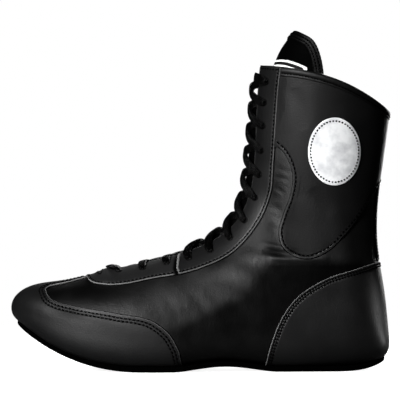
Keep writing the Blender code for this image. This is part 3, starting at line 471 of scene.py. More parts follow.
def fold_height(x, z, side):
    """Sum of the creases along bent lines: Gaussian troughs between two lower ridges, or single ridges."""
    height = np.zeros_like(x)
    here = (FOLDS[:, 0] == 0) | (FOLDS[:, 0] == side)
    for x0, z0, x1, z1, bend, width, depth in FOLDS[here, 1:]:
        run = np.array([x1 - x0, z1 - z0])
        length = np.hypot(*run)
        s = ((x - x0) * run[0] + (z - z0) * run[1]) / length**2
        inside = np.clip(4.0 * s * (1.0 - s), 0.0, 1.0)
        off = ((z - z0) * run[0] - (x - x0) * run[1]) / length - bend * inside
        trough = np.exp(-(off / width)**2)
        ridges = np.exp(-((np.abs(off) - RIDGE_OFF * width) / width)**2)
        height += inside**0.7 * (RIDGE_SHARE * max(depth, 0.0) * ridges - depth * trough)
    return height


def skin(p, t, side, lift=0.0):
    """Points and normals of the shoe's creased surface, lift above the leather of the upper."""
    half = throat_half(p)
    flat = last_point(p, t, side, half)
    normal = last_normal(p, t, side, half)
    height = lift + fold_height(flat[..., 0], flat[..., 2], side)
    return flat + height[..., None] * normal, normal


def mapped(tree, value, low, high, start=0.0, end=1.0, **settings):
    """A value mapped from between start and end to between low and high, in a straight line unless set."""
    ends = [("From Min", start), ("From Max", end), ("To Min", low), ("To Max", high)]
    return add_node(tree, "ShaderNodeMapRange", [("Value", value), *ends], **settings).outputs["Result"]


def blend(tree, share, *colours):
    """A blend of two colours by a share. Each colour is three numbers or the output of a node."""
    ends = [one if isinstance(one, bpy.types.NodeSocket) else (*one, 1.0) for one in colours]
    links = [(0, share), (6, ends[0]), (7, ends[1])]
    return add_node(tree, "ShaderNodeMix", links, data_type="RGBA").outputs[2]


def value_of(tree, name):
    """A value that the mesh holds at its points."""
    return add_node(tree, "ShaderNodeAttribute", attribute_name=name).outputs["Fac"]


def leather_finish(name, colour, roughness, gloss, wrinkle=0.25, cloudy=0.055):
    """Satin leather: wrinkles, grain and pores by bump, cloudy gloss, bare cut edges, and painted shade that
    darkens grooves and shaded zones.
    """
    material, tree, shader = finish_named(name, colour, roughness, gloss)
    place = object_place(tree)
    edge, painted_shade = value_of(tree, "cut_edge"), value_of(tree, "groove_and_painted_shade")
    bare = blend(tree, edge, colour, EDGE_GREY)
    # Painted shade: the marked shade value takes the colour towards near black and the specular tint to
    # nought, standing in for shade in stitch grooves, beside edges and over zones turned from the light.
    tree.links.new(blend(tree, painted_shade, bare, SHADE_BLACK), shader.inputs["Base Color"])
    tree.links.new(blend(tree, painted_shade, (1.0, 1.0, 1.0), (0.0, 0.0, 0.0)), shader.inputs["Specular Tint"])
    cloud = texture(tree, "Noise", place, {"Scale": 45.0, "Detail": 4.0})
    satin = mapped(tree, cloud, roughness - cloudy, roughness + cloudy, 0.3, 0.7)
    rough = add_node(tree, "ShaderNodeMath", [(0, satin), (1, edge)], operation="MAXIMUM")
    tree.links.new(rough.outputs["Value"], shader.inputs["Roughness"])
    drawn = add_node(tree, "ShaderNodeMapping", [("Vector", place), ("Rotation", (0.0, 0.6, 0.0)),
                                                 ("Scale", (1.0, 1.0, 0.45))]).outputs["Vector"]
    fine = texture(tree, "Noise", drawn, {"Scale": 190.0, "Detail": 6.0, "Roughness": 0.62})
    pebble = texture(tree, "Voronoi", place, {"Scale": 1100.0}, "Distance", feature="SMOOTH_F1")
    pores = texture(tree, "Noise", place, {"Scale": 2600.0, "Detail": 3.0})
    under = bump_from(tree, shader, fine, wrinkle, 0.0008)
    under = bump_from(tree, shader, pebble, 0.3, 0.00022, under)
    bump_from(tree, shader, pores, 0.2, 0.0001, under)
    return material


def eased(share):
    """A smooth step from 0 to 1: three times the square less twice the cube."""
    share = np.clip(share, 0.0, 1.0)
    return share**2 * (3.0 - 2.0 * share)


def shade_bells(points, bells):
    """How much painted shade darkens the leather: one less the product of what each tilted Gaussian bell
    leaves.
    """
    x, z = points[..., 0], points[..., 2]
    left = np.ones_like(x)
    for middle_x, middle_z, length, width, tilt, depth in bells:
        turn = math.radians(tilt)
        run = (x - middle_x) * math.cos(turn) + (z - middle_z) * math.sin(turn)
        off = (z - middle_z) * math.cos(turn) - (x - middle_x) * math.sin(turn)
        left *= 1.0 - depth * np.exp(-(run / length)**2 - (off / width)**2)
    return 1.0 - left


def painted_shade_zones(points):
    """How much painted shade the upper has: bells, a smooth step over the vamp's front, one over the back
    quarter.
    """
    x, z = points[..., 0], points[..., 2]
    front = FRONT_SHADE * eased((x - FRONT_X) / FRONT_RUN)
    depth = np.interp(z, *QUARTER_SHADE) * ramp(z, QUARTER_TOP, QUARTER_FADE)
    back = depth * eased((x - np.interp(z, *QUARTER_START)) / QUARTER_RUN)
    return 1.0 - (1.0 - front) * (1.0 - back) * (1.0 - shade_bells(points, UPPER_SHADE_BELLS))


black_leather = leather_finish("black_leather", (0.003, 0.003, 0.0031), 0.47, 0.27, 0.14)
vamp_leather = leather_finish("vamp_leather", (0.0012, 0.0012, 0.0012), 0.43, 0.45, 0.22, 0.08)
UPPER_ROWS = np.concatenate([
    2.0 * np.linspace(0.0, 1.0, 40)**1.5,
    np.linspace(2.0, THROAT_START, 90)[1:],
    THROAT_START + THROAT_ROUND * (1.0 - np.cos(np.linspace(0.0, 1.0, 14)[1:] * math.pi / 2)),
    np.linspace(THROAT_START + THROAT_ROUND, COLLAR, 190)[1:],
])
UPPER_COLUMNS = np.concatenate([np.linspace(0.0, 1.0, 62), np.linspace(1.0, 2.0, 42)[1:]])
blocks = []
for side in BOTH_SIDES:
    points, normals = skin(UPPER_ROWS[:, None], UPPER_COLUMNS[None, :], side)
    blocks.append((points, normals, {"groove_and_painted_shade": painted_shade_zones(points)}))
piece("upper_leather", blocks, vamp_leather, ["upper"])

# Lining: thin black twill glued to the inside of the leather, seen through the collar.
# It follows the upper at the thickness of the leather.
lining_cloth, tree, shader = finish_named("lining_twill", (0.012, 0.012, 0.013), 0.85)
place = object_place(tree)
twill = texture(tree, "Wave", place, {"Scale": 380.0, "Distortion": 1.0}, bands_direction="DIAGONAL")
bump_from(tree, shader, twill, 0.3, 0.0002)
blocks = []
for side in BOTH_SIDES:
    points, normals = skin(UPPER_ROWS[::2, None], UPPER_COLUMNS[None, ::2], side, -UPPER_WALL)
    blocks.append((points, -normals, {}))
piece("upper_lining", blocks, lining_cloth)

# Toe cap: one leather overlay with a wing along each side and a peak on the ridge back to the eyestay.
# It is stitched down with two rows along its free edge, and its lower edge is lasted under with the upper.
OVERLAY_TOP = 1.3
CAP_EDGE = np.array([
    # x, z in the side view
    (-16.0, 16.6), (-22.7, 28.2), (-34.0, 37.4), (-63.7, 44.1), (-97.6, 50.0), (-107.4, 52.4), (-113.2, 55.2),
    (-116.8, 60.6),
])
CAP_PEAK = np.array([
    # x, half width of the peak on the ridge
    (-114.8, 19.4), (-110.0, 17.0), (-103.0, 15.4), (-94.0, 11.5), (-87.4, 8.6),
])
# Painted shade: a bell that dims the broad highlight along the cap's shoulder below its stitches.
CAP_SHADE_BELLS = np.array([
    # middle x and z in the side view, length, width, tilt in degrees, depth
    (-97.0, 43.7, 36.0, 6.0, -14.6, 0.78),
])
CAP_FOOT = np.array([
    # sections behind the wing's lower end, step, where the edge goes down under the sole
    (0.12, 1.86), (0.06, 1.7),
])
CAP_SOLE_END = 2.1
CAP_STITCH_ROWS, CAP_PITCH = (2.6, 4.9), 3.15
EDGE_SPACING = 0.9
PAST_COLLAR = 21.4
LASTED_GAP = 0.9
# rows of an overlay by their distance from its free edge: a painted shadow strip outside it, wall, round-over
# and flat
BAND = (-0.9, -0.75, -0.6, 0.0, 0.0, 0.08, 0.2, 0.38, 0.55, 0.8, 1.1, 1.5, 2.0, 3.0, 3.6, 5.4, 6.0)
# A thin strip laid on the upper just outside an overlay's edge, dark and glossless: painted shadow.
SHADOW_LINE_ROWS, SHADOW_LINE_DARK = 4, 0.95
SHADOW_LINE_LIFT = np.array([-0.15, 0.04, 0.06, 0.06])
CHANNEL_ROWS = np.array([-0.5, -0.25, 0.0, 0.25, 0.5])
# Stitch grooves are sunk, and also darkened by painted shade.
CHANNEL_HALF, CHANNEL_DEPTH, CHANNEL_SHADE = 0.48, 0.25, 0.3
ROUND_WIDTH, ROUND_DROP = 0.4, 0.5
BARE_WIDTH, BARE_FADE = 0.5, -0.25
TUCKED_LIFT, TUCKED_RISE = 0.95, 7.0
# rows of an overlay by their distance from its far line
FAR_ROWS = np.array([0.9, 0.6, 0.4, 0.2, 0.08, 0.0])
FAR_AWAY = 99.0
STITCH_PITCH = 2.4
STITCH_LIFT = 0.02
STITCH_SHARE = 0.68
STITCH_RADIUS = 0.62


def smooth_edge(points, steps=24):
    """A curve through the points: cubic spans whose slopes weigh the neighbouring chords by length."""
    chords = np.diff(points, axis=0)
    lengths = np.linalg.norm(chords, axis=1)[:, None]
    slopes = chords / lengths
    inner = (slopes[1:] * lengths[:-1] + slopes[:-1] * lengths[1:]) / (lengths[:-1] + lengths[1:])
    tangents = np.vstack([slopes[:1], inner, slopes[-1:]])
    u = (np.arange(steps) / steps)[None, :, None]
    start, end = points[:-1, None], points[1:, None]
    leave = (tangents[:-1] * lengths)[:, None]
    arrive = (tangents[1:] * lengths)[:, None]
    curve = (start * (1 + 2 * u) * (1 - u)**2 + leave * u * (1 - u)**2
             + end * u**2 * (3 - 2 * u) + arrive * u**2 * (u - 1))
    return np.vstack([curve.reshape(-1, points.shape[1]), points[-1:]])


def outer_point(p, t):
    """A point of the last's outer side, beside the throat."""
    return last_point(p, t, -1, throat_half(p))


def slopes_of(p, t):
    """Derivatives of the outer side by section and by step, from differences."""
    by_p = (outer_point(p + PROBE, t) - outer_point(p - PROBE, t)) / (2 * PROBE)
    by_t = (outer_point(p, t + PROBE) - outer_point(p, t - PROBE)) / (2 * PROBE)
    return by_p, by_t


def settle(x, z):
    """Section and step of outer-side points from their side view: nearest grid point, then Newton steps."""
    rows, columns = np.linspace(2.0, PAST_COLLAR, 195), np.linspace(0.02, 1.96, 98)
    grid_p, grid_t = np.meshgrid(rows, columns, indexing="ij")
    grid = outer_point(grid_p, grid_t)
    apart = (grid[..., 0].ravel() - x[:, None])**2 + (grid[..., 2].ravel() - z[:, None])**2
    closest = np.argmin(apart, axis=1)
    p, t = grid_p.ravel()[closest], grid_t.ravel()[closest]
    for _ in range(14):
        here = outer_point(p, t)
        by_p, by_t = slopes_of(p, t)
        miss_x, miss_z = x - here[:, 0], z - here[:, 2]
        area = by_p[:, 0] * by_t[:, 2] - by_p[:, 2] * by_t[:, 0]
        area = np.where(np.abs(area) < 1.0, np.where(area < 0, -1.0, 1.0), area)
        p = p + np.clip((miss_x * by_t[:, 2] - miss_z * by_t[:, 0]) / area, -0.2, 0.2)
        t = np.clip(t + np.clip((by_p[:, 0] * miss_z - by_p[:, 2] * miss_x) / area, -0.1, 0.1), 0.0, 1.99)
    here = outer_point(p, t)
    return p, t, np.hypot(here[:, 0] - x, here[:, 2] - z)


def sole_line(first, last, count):
    """Even sections from first to last, with the steps at which they come down to the sole."""
    p = np.linspace(first, last, count)
    steps = np.linspace(1.0, 2.0, 301)
    points = outer_point(p[:, None], steps[None, :])
    low = points[..., 2] < sole_top(points[..., 0]) + LASTED_GAP
    return np.column_stack([p, np.where(low.any(axis=1), steps[np.argmax(low, axis=1)], 2.0)])


def nearest(grid, values, wanted):
    """The entry of a grid whose value comes nearest to the wanted one."""
    return grid[np.argmin(np.abs(values - wanted))]


def ridge_section(x, grid_p):
    """The section of a grid whose ridge comes nearest to the given x."""
    return nearest(grid_p, outer_point(grid_p, 0.0)[:, 0], x)


def on_outline(outline):
    """Sections and steps along a side-view outline, without the stretches that run past the shoe."""
    curve = smooth_edge(outline)
    p, t, miss = settle(curve[:, 0], curve[:, 1])
    kept = miss < 0.15
    return np.column_stack([p[kept], t[kept]])


def lengths_along(points):
    """Length along a path up to each of its points, summed over the chords."""
    return np.concatenate([[0.0], np.cumsum(np.linalg.norm(np.diff(points, axis=0), axis=1))])


def read_at(at, places, columns):
    """Columns of values that belong to places along a path, read between them by straight lines."""
    return np.stack([np.interp(at, places, column) for column in columns.T], axis=-1)


def even_steps(route, spacing):
    """A route of sections and steps, read at even lengths along the last."""
    length = lengths_along(outer_point(*route.T))
    at = np.linspace(0.0, length[-1], max(int(length[-1] / spacing), 2) + 1)
    return read_at(at, length, route)


def spread(route, shares, count):
    """A route through corner points of section and step that are reached at the given shares of count."""
    return read_at(np.linspace(0.0, 1.0, count), shares, route)


def step_in(route, distance, sign):
    """The route moved sideways over the last by a distance, by its slopes across the route."""
    p, t = route[:, 0], route[:, 1]
    by_p, by_t = slopes_of(p, t)
    run = np.gradient(outer_point(p, t), axis=0)
    inward = sign * unit(np.cross(np.cross(by_t, by_p), run))
    a, b, c = np.sum(by_p * by_p, 1), np.sum(by_p * by_t, 1), np.sum(by_t * by_t, 1)
    r, s = np.sum(inward * by_p, 1), np.sum(inward * by_t, 1)
    area = np.maximum(a * c - b * b, 1e-3)
    moved = np.column_stack([p + distance * (c * r - b * s) / area, t + distance * (a * s - b * r) / area])
    return np.column_stack([np.clip(moved[:, 0], 0.0, PAST_COLLAR), np.clip(moved[:, 1], 0.0, 2.0)])


def panel(edge, far, stitch_rows, inner_rows=46, tucked=0.0, far_cut=False, bare=1.0):
    """Sections, steps, lifts, marks and stitch rows of an overlay between its free edge and a far line.

    Rows near the edge run at even distances from it: a thin dark strip outside, which is painted shadow, a
    wall, a round-over, and a sunk groove for each row of stitches, darkened with painted shade. Behind them
    straight lines of section and step lead to the far line. Columns marked as tucked go under another
    overlay, so they have no wall and rise slowly.
    A cut far line is rounded over as the edge is.
    """
    steps = np.sort(np.concatenate([BAND, *(at + CHANNEL_ROWS for at in stitch_rows)]))
    tries = [np.linalg.norm(outer_point(*step_in(edge, 2.0, sign).T) - outer_point(*far.T), axis=1).mean()
             for sign in (1.0, -1.0)]
    sign = 1.0 if tries[0] < tries[1] else -1.0
    route = step_in(edge, steps[0], sign)
    band = [route]
    for before, after in zip(steps[:-1], steps[1:]):
        if after > before:
            route = step_in(route, after - before, sign)
        band.append(route)
    width = np.linalg.norm(outer_point(*route.T) - outer_point(*far.T), axis=1)
    close = FAR_ROWS[:, None] / np.maximum(width, 1.5)
    share = np.linspace(0.0, 1.0, inner_rows + 1)[1:-1, None] + 0.0 * width
    share = np.sort(np.concatenate([share, 1.0 - close]), axis=0)
    grid = np.concatenate([np.stack(band), route + share[..., None] * (far - route)])
    inside = np.concatenate([steps, np.full(len(share), FAR_AWAY)])[:, None] + 0.0 * width
    from_far = np.concatenate([np.full((len(steps), len(width)), FAR_AWAY), (1.0 - share) * width])
    from_cut = np.where(far_cut, np.minimum(inside, from_far), inside)
    groove_and_painted_shade = sum(np.exp(-((inside - at) / CHANNEL_HALF)**4) for at in stitch_rows)
    lift = OVERLAY_TOP - ROUND_DROP * (1.0 - ramp(from_cut, 0.0, ROUND_WIDTH))**2 - CHANNEL_DEPTH * groove_and_painted_shade
    lift[:SHADOW_LINE_ROWS] = SHADOW_LINE_LIFT[:, None]
    slow = TUCKED_LIFT + (OVERLAY_TOP - TUCKED_LIFT) * eased(inside / TUCKED_RISE)
    lift += tucked * (slow - lift)
    cut = bare * (1.0 - tucked) * ramp(from_cut, BARE_WIDTH, BARE_FADE)
    cut[:SHADOW_LINE_ROWS] = 0.0
    # Painted shade in the stitch grooves, and painted shadow on the strip outside the edge.
    groove_and_painted_shade = CHANNEL_SHADE * groove_and_painted_shade
    groove_and_painted_shade[:SHADOW_LINE_ROWS] = SHADOW_LINE_DARK
    marks = {"cut_edge": cut, "groove_and_painted_shade": (1.0 - tucked) * groove_and_painted_shade}
    free = np.broadcast_to(tucked, width.shape) < 0.5
    rows = [band[int(np.argmin(np.abs(steps - at)))][free] for at in stitch_rows]
    return {"p": grid[..., 0], "t": grid[..., 1], "lift": lift, "marks": marks, "rows": rows}


def raise_mark(made, key, share):
    """Raises a mark of an overlay to a share wherever the share is larger."""
    made["marks"][key] = np.maximum(made["marks"][key], share)


def panel_blocks(made, sides=BOTH_SIDES):
    """Blocks of an overlay on the given sides of the shoe."""
    return [(*skin(made["p"], made["t"], side, made["lift"]), made["marks"]) for side in sides]


def stitch_blocks(points, normals, pitch=STITCH_PITCH):
    """Stitches along a path: six-sided capsules at an even pitch, their ends pulled down into the holes."""
    length = lengths_along(points)
    count = max(round(length[-1] / pitch), 1)
    middle = (np.arange(count) + 0.5) * length[-1] / count
    share = np.array([-0.5, -0.42, -0.2, 0.2, 0.42, 0.5])
    girth = np.array([0.15, 0.75, 1.0, 1.0, 0.75, 0.15]) * STITCH_RADIUS
    depth = np.array([-0.45, -0.2, 0.0, 0.0, -0.2, -0.45])
    at = middle[:, None] + share * STITCH_SHARE * pitch
    centre = read_at(at, length, points)
    up = unit(read_at(at, length, normals))
    run = unit(centre[:, -1:] - centre[:, :1])
    across = unit(np.cross(run, up))
    turn = np.linspace(0.0, 2 * math.pi, 7)
    ring = (np.cos(turn)[:, None] * across[:, :, None] + np.sin(turn)[:, None] * up[:, :, None])
    centre = centre + depth[:, None] * up
    grid = centre[:, :, None] + girth[:, None, None] * ring
    return [(one, way, {}) for one, way in zip(grid, ring)]


def sewn(rows, pitch):
    """Stitch blocks along rows of sections and steps on an overlay, on both sides of the shoe."""
    blocks = []
    for route in rows:
        for side in BOTH_SIDES:
            blocks += stitch_blocks(*skin(*route.T, side, OVERLAY_TOP + STITCH_LIFT), pitch)
    return blocks


def overlay(name, made, pitch=STITCH_PITCH):
    """The two pieces of an overlay on both sides of the shoe: its leather and its stitches."""
    piece(name + "_leather", panel_blocks(made), black_leather, [name])
    piece(name + "_stitches", sewn(made["rows"], pitch), thread)


thread, tree, shader = finish_named("black_thread", (0.0004, 0.0004, 0.0004), 0.9, 0.03)
twist = texture(tree, "Wave", object_place(tree), {"Scale": 900.0}, bands_direction="DIAGONAL")
bump_from(tree, shader, twist, 0.4, 0.0001)

wing = on_outline(CAP_EDGE)
peak = []
for x, half in CAP_PEAK:
    p = ridge_section(x, np.linspace(3.5, 7.0, 701))
    grid_t = np.linspace(0.0, 1.0, 401)
    line = outer_point(p, grid_t)
    peak.append((p, nearest(grid_t, np.abs(line[:, 1] - line[0, 1]), half)))
corner = smooth_edge(np.vstack([wing[-4:], peak]), 10)
cap_edge = even_steps(np.vstack([CAP_FOOT + (wing[0, 0], 0.0), wing[:-4], corner]), EDGE_SPACING)
along_sole = sole_line(cap_edge[0, 0], CAP_SOLE_END, 24)
cap_far = np.vstack([along_sole, [(0.0, 2.0), (0.0, 0.0), (peak[-1][0], 0.0)]])
shares = np.concatenate([np.linspace(0.0, 0.62, len(along_sole)), [0.70, 0.84, 1.0]])
toe_cap = panel(cap_edge, spread(cap_far, shares, len(cap_edge)), CAP_STITCH_ROWS, 60)
# Painted shade on the cap's shoulder.
raise_mark(toe_cap, "groove_and_painted_shade", shade_bells(outer_point(toe_cap["p"], toe_cap["t"]), CAP_SHADE_BELLS))
overlay("toe_cap", toe_cap, CAP_PITCH)

# Heel counter: a leather overlay that wraps the heel from one side of the arch to the other.
# It is stitched with two rows along its upper edge and lasted under with the upper.
COUNTER_EDGE = np.array([
    # x, z in the side view
    (48.4, 2.0), (53.7, 22.6), (61.4, 40.7), (71.0, 54.2), (92.1, 68.7), (120.8, 78.4), (155.0, 88.6),
])
COUNTER_FOOT = (0.04, 1.9)  # sections before the edge's lower end, step
COUNTER_SOLE_END = 15.6
COUNTER_STITCH_ROWS = (1.9, 3.7)
COUNTER_BARE, COUNTER_BACK_BARE = 0.85, 0.25


def to_back_line(route, outline):
    """The route, led on to the point of the back line that its side-view outline crosses."""
    grid_p = np.linspace(15.0, COLLAR, 1201)
    line = outer_point(grid_p, 2.0)
    curve = smooth_edge(outline)[-40:]
    back_p = nearest(grid_p, line[:, 2], np.interp(line[:, 0], curve[:, 0], curve[:, 1]))
    return np.vstack([route[route[:, 1] < 1.9], [(back_p, 2.0)]])


route = to_back_line(on_outline(COUNTER_EDGE), COUNTER_EDGE)
foot = (route[0, 0] - COUNTER_FOOT[0], COUNTER_FOOT[1])
counter_edge = even_steps(np.vstack([[foot], route]), EDGE_SPACING)
along_sole = sole_line(counter_edge[0, 0], COUNTER_SOLE_END, 48)
counter_far = np.vstack([along_sole, counter_edge[-1:]])
shares = np.concatenate([np.linspace(0.0, 0.72, len(along_sole)), [1.0]])
bare = COUNTER_BARE + (COUNTER_BACK_BARE - COUNTER_BARE) * ramp(counter_edge[:, 1], 1.8, 0.15)
counter_lines = spread(counter_far, shares, len(counter_edge))
heel_counter = panel(counter_edge, counter_lines, COUNTER_STITCH_ROWS, bare=bare)
overlay("heel_counter", heel_counter)

# Eyestay: a front piece that bridges the vamp before the throat, and one long stay up each side.
# The stays carry the eyelets. One row of stitches runs inside the free edges, and the cut edges are bare.
# A short bar of thread tacks the front piece down on each side, before the lowest eyelet.
EYESTAY_FRONT_X = -88.2
EYESTAY_JOINT_X = -16.2
EYESTAY_FRONT_EDGE = np.array([
    # x, z in the side view
    (-88.6, 73.0), (-83.6, 67.9), (-70.3, 64.9), (-57.4, 65.8), (-34.7, 70.2), (-16.2, 73.2),
])
JOINT_STEP = 0.5
JOINT_FADE = 5.0
# Length of the painted shadow on the front piece before the joint.
JOINT_SHADOW = 3.7
BAR_TACK = np.array([
    # x, z in the side view
    (-79.4, 74.6), (-78.0, 73.2), (-76.4, 71.6), (-74.9, 71.5), (-74.3, 73.4), (-73.8, 75.4),
])
EYESTAY_EDGE = np.array([
    # x, z in the side view
    (-16.0, 73.0), (-0.8, 77.4), (25.3, 90.2), (38.3, 103.5), (46.9, 116.6), (53.7, 134.8), (55.8, 158.0),
    (58.3, 196.9), (59.4, 212.0), (62.6, 240.0),
])
STAY_STITCH_ROWS, STAY_PITCH = (1.75,), 3.0
STAY_INNER_ROWS = 34
VAMP_SHARE = 0.35
SWELL_X, SWELL_LENGTH, SWELL_REACH, SWELL_HEIGHT = -71.0, 7.0, 0.4, 1.5
TACK_LIFT, TACK_RADIUS = 0.15, 0.45


def throat_wall(first, last, count, sides):
    """The cut edge of the stays and the upper along the throat, from the overlay's top past the lining."""
    p = np.linspace(first, last, count)[None, :]
    lift = np.array([OVERLAY_TOP, OVERLAY_TOP - 0.15, 0.6, -0.6, -UPPER_WALL - 0.2])[:, None]
    blocks = []
    for side in sides:
        points, normals = skin(p, 0.0 * p, side, lift)
        outward = np.broadcast_to(-side * ACROSS, points.shape)
        blocks.append((points, outward, {"cut_edge": np.array([0.6, 1.0, 0.9, 0.4, 0.0])[:, None]}))
    return blocks


def front_swell(p, t):
    """How far the tongue's front end lifts the leather over it: a bell along the ridge and across it."""
    along = (outer_point(p, t)[..., 0] - SWELL_X) / SWELL_LENGTH
    return SWELL_HEIGHT * np.exp(-along**2) * np.exp(-(t / SWELL_REACH)**2)


front_p = ridge_section(EYESTAY_FRONT_X, np.linspace(5.5, 7.2, 601))
joint_p = ridge_section(EYESTAY_JOINT_X, np.linspace(9.0, 11.0, 601))
front_route = on_outline(EYESTAY_FRONT_EDGE)
front_edge = even_steps(np.vstack([[(front_p, 0.0)], front_route[front_route[:, 1] > 0.05]]), 0.8)
front_far = np.array([(front_p + 0.15, 0.0), (THROAT_START, 0.0), (joint_p + 0.02, 0.0)])
front_lines = spread(front_far, (0.0, VAMP_SHARE, 1.0), len(front_edge))
past_vamp = np.linspace(0.0, 1.0, len(front_edge)) > VAMP_SHARE
eyestay_front = panel(front_edge, front_lines, STAY_STITCH_ROWS, STAY_INNER_ROWS, far_cut=past_vamp)
eyestay_front["lift"] += front_swell(eyestay_front["p"], eyestay_front["t"])
before_joint = lengths_along(outer_point(*front_edge[::-1].T))[::-1]
# Painted shadow: a dark band on the front piece just before the joint, under the side stay's raised end.
raise_mark(eyestay_front, "groove_and_painted_shade", np.exp(-(before_joint / JOINT_SHADOW)**8))
blocks = panel_blocks(eyestay_front) + throat_wall(THROAT_START, joint_p, 90, BOTH_SIDES)
stay_leather = leather_finish("stay_leather", (0.004, 0.004, 0.0041), 0.5, 0.45, 0.14)
piece("eyestay_front_leather", blocks, stay_leather, ["eyestay_front"])
stay_edge = even_steps(on_outline(EYESTAY_EDGE), EDGE_SPACING)
stay_edge = stay_edge[stay_edge[:, 0] < COLLAR]
first_steps = np.array([0.0, 0.1, 0.25, 0.45, 0.7])[:, None]
stay_edge = np.vstack([stay_edge[:1] + first_steps * (stay_edge[1:2] - stay_edge[:1]), stay_edge[1:]])
after_joint = lengths_along(outer_point(*stay_edge.T))
stay_p = np.interp(after_joint, after_joint[[0, -1]], (joint_p, COLLAR))
stay_far = np.column_stack([stay_p, 0.0 * stay_p])
eyestay_side = panel(stay_edge, stay_far, STAY_STITCH_ROWS, STAY_INNER_ROWS, far_cut=True)
eyestay_side["lift"] += JOINT_STEP * (1.0 - ramp(after_joint, 0.0, JOINT_FADE))**2
raise_mark(eyestay_side, "cut_edge", ramp(after_joint, 1.7, -0.5))
joint = stay_edge[0] + np.linspace(0.0, 1.0, 24)[:, None] * (np.array([joint_p, 0.0]) - stay_edge[0])
joint_lift = np.array([0.4, 1.2, OVERLAY_TOP + JOINT_STEP - 0.1])[:, None]
top_row = np.column_stack([np.full(30, COLLAR - 0.15), np.linspace(stay_edge[-1, 1] - 0.03, 0.02, 30)])
for name, side in (("eyestay_outer", -1), ("eyestay_inner", 1)):
    blocks = panel_blocks(eyestay_side, (side,)) + throat_wall(joint_p, COLLAR, 260, (side,))
    points, normals = skin(joint[None, :, 0], joint[None, :, 1], side, joint_lift)
    blocks.append((points, np.array([-1.0, 0.0, 0.0]), {"cut_edge": 1.0}))
    piece(name + "_leather", blocks, black_leather, [name])
stay_rows = eyestay_front["rows"] + eyestay_side["rows"] + [top_row]
piece("eyestay_stitches", sewn(stay_rows, STAY_PITCH), thread)


def thread_block(points, normals, radius):
    """A thread laid along points: a ring of seven points carried along the path."""
    run = unit(np.gradient(points, axis=0))
    across = unit(np.cross(run, normals))
    turn = np.linspace(0.0, 2 * math.pi, 8)
    ring = np.cos(turn)[:, None] * across[:, None] + np.sin(turn)[:, None] * np.cross(across, run)[:, None]
    return points[:, None] + radius * ring, ring, {}


tack = smooth_edge(BAR_TACK, 6)
tack_p, tack_t, _ = settle(tack[:, 0], tack[:, 1])
blocks = []
for side in BOTH_SIDES:
    points, normals = skin(tack_p, tack_t, side, OVERLAY_TOP + TACK_LIFT + front_swell(tack_p, tack_t))
    blocks.append(thread_block(points, normals, TACK_RADIUS))
piece("eyestay_bar_tack", blocks, thread)

# Shaft panel: a large leather overlay round ankle and shaft, from one eyestay round the back to the other.
# Its lower edge makes a lobe over the ankle on each side. One row of stitches holds it.
SHAFT_EDGE = np.array([
    # x, z in the side view
    (55.0, 174.4), (64.7, 164.1), (70.5, 147.5), (68.4, 132.0), (63.2, 117.7), (59.9, 104.2), (62.0, 95.2),
    (70.0, 87.9), (82.0, 85.4), (94.0, 89.8), (110.3, 105.2), (130.7, 134.1), (155.0, 174.0),
])
SHAFT_STITCH_ROWS, SHAFT_PITCH = (2.1,), 3.3
SHAFT_BARE = 0.55
ROWS_TO_STITCHES = 13
# Painted shade over the lower front of the shaft panel, weaker on the rows up to its stitches.
LOBE_SHADE, LOBE_EDGE_SHARE = 0.8, 0.3
LOBE_BACK_X, LOBE_RUN_X = 100.0, -34.0
LOBE_TOP_Z, LOBE_RUN_Z = 200.0, -85.0
route = to_back_line(on_outline(SHAFT_EDGE), SHAFT_EDGE)
stay_line = even_steps(on_outline(EYESTAY_EDGE + (0.7, 0.0)), EDGE_SPACING)
stay_points = outer_point(*stay_line.T)
route_points = outer_point(*route.T)
behind = route_points[:, 0] > np.interp(route_points[:, 2], stay_points[:, 2], stay_points[:, 0])
route = route[behind | (route_points[:, 2] < 120.0)]
meeting = outer_point(*route[0])[2]
above = stay_line[(stay_points[:, 2] > meeting + 2.0) & (stay_line[:, 0] < COLLAR)]
shaft_edge = even_steps(np.vstack([above[::-1], route]), EDGE_SPACING)
edge_spans = len(shaft_edge) - 1
edge_points = outer_point(*shaft_edge.T)


def share_at(x, z):
    """Share of the shaft panel's edge at which its side view is nearest to a point."""
    return np.argmin(np.hypot(edge_points[:, 0] - x, edge_points[:, 2] - z)) / edge_spans


def collar_step(x):
    """Step round the collar at which the outer side is nearest to the given x."""
    steps = np.linspace(0.0, 2.0, 801)
    return nearest(steps, outer_point(np.full(801, COLLAR), steps)[:, 0], x)


def back_section(z):
    """Section whose point on the back line is nearest to the given height."""
    sections = np.linspace(17.0, COLLAR, 801)
    return nearest(sections, outer_point(sections, 2.0)[:, 2], z)


shaft_far = np.array([
    # section, step, share of the edge
    (COLLAR, collar_step(61.5), 0.0),
    (COLLAR, collar_step(75.0), share_at(58.0, 172.0)),
    (COLLAR, collar_step(88.0), share_at(70.5, 147.5)),
    (COLLAR, collar_step(105.0), share_at(60.0, 104.2)),
    (COLLAR, 2.0, share_at(82.0, 85.4)),
    (back_section(176.0), 2.0, share_at(110.3, 105.2)),
    (back_section(162.0), 2.0, share_at(130.7, 134.1)),
    (shaft_edge[-1, 0], 2.0, 1.0),
])
shaft_lines = spread(shaft_far[:, :2], shaft_far[:, 2], len(shaft_edge))
under_stay = (np.arange(len(shaft_edge)) / edge_spans < share_at(*SHAFT_EDGE[0])).astype(float)
shaft_panel = panel(shaft_edge, shaft_lines, SHAFT_STITCH_ROWS, 90, tucked=under_stay, bare=SHAFT_BARE)
at = outer_point(shaft_panel["p"], shaft_panel["t"])
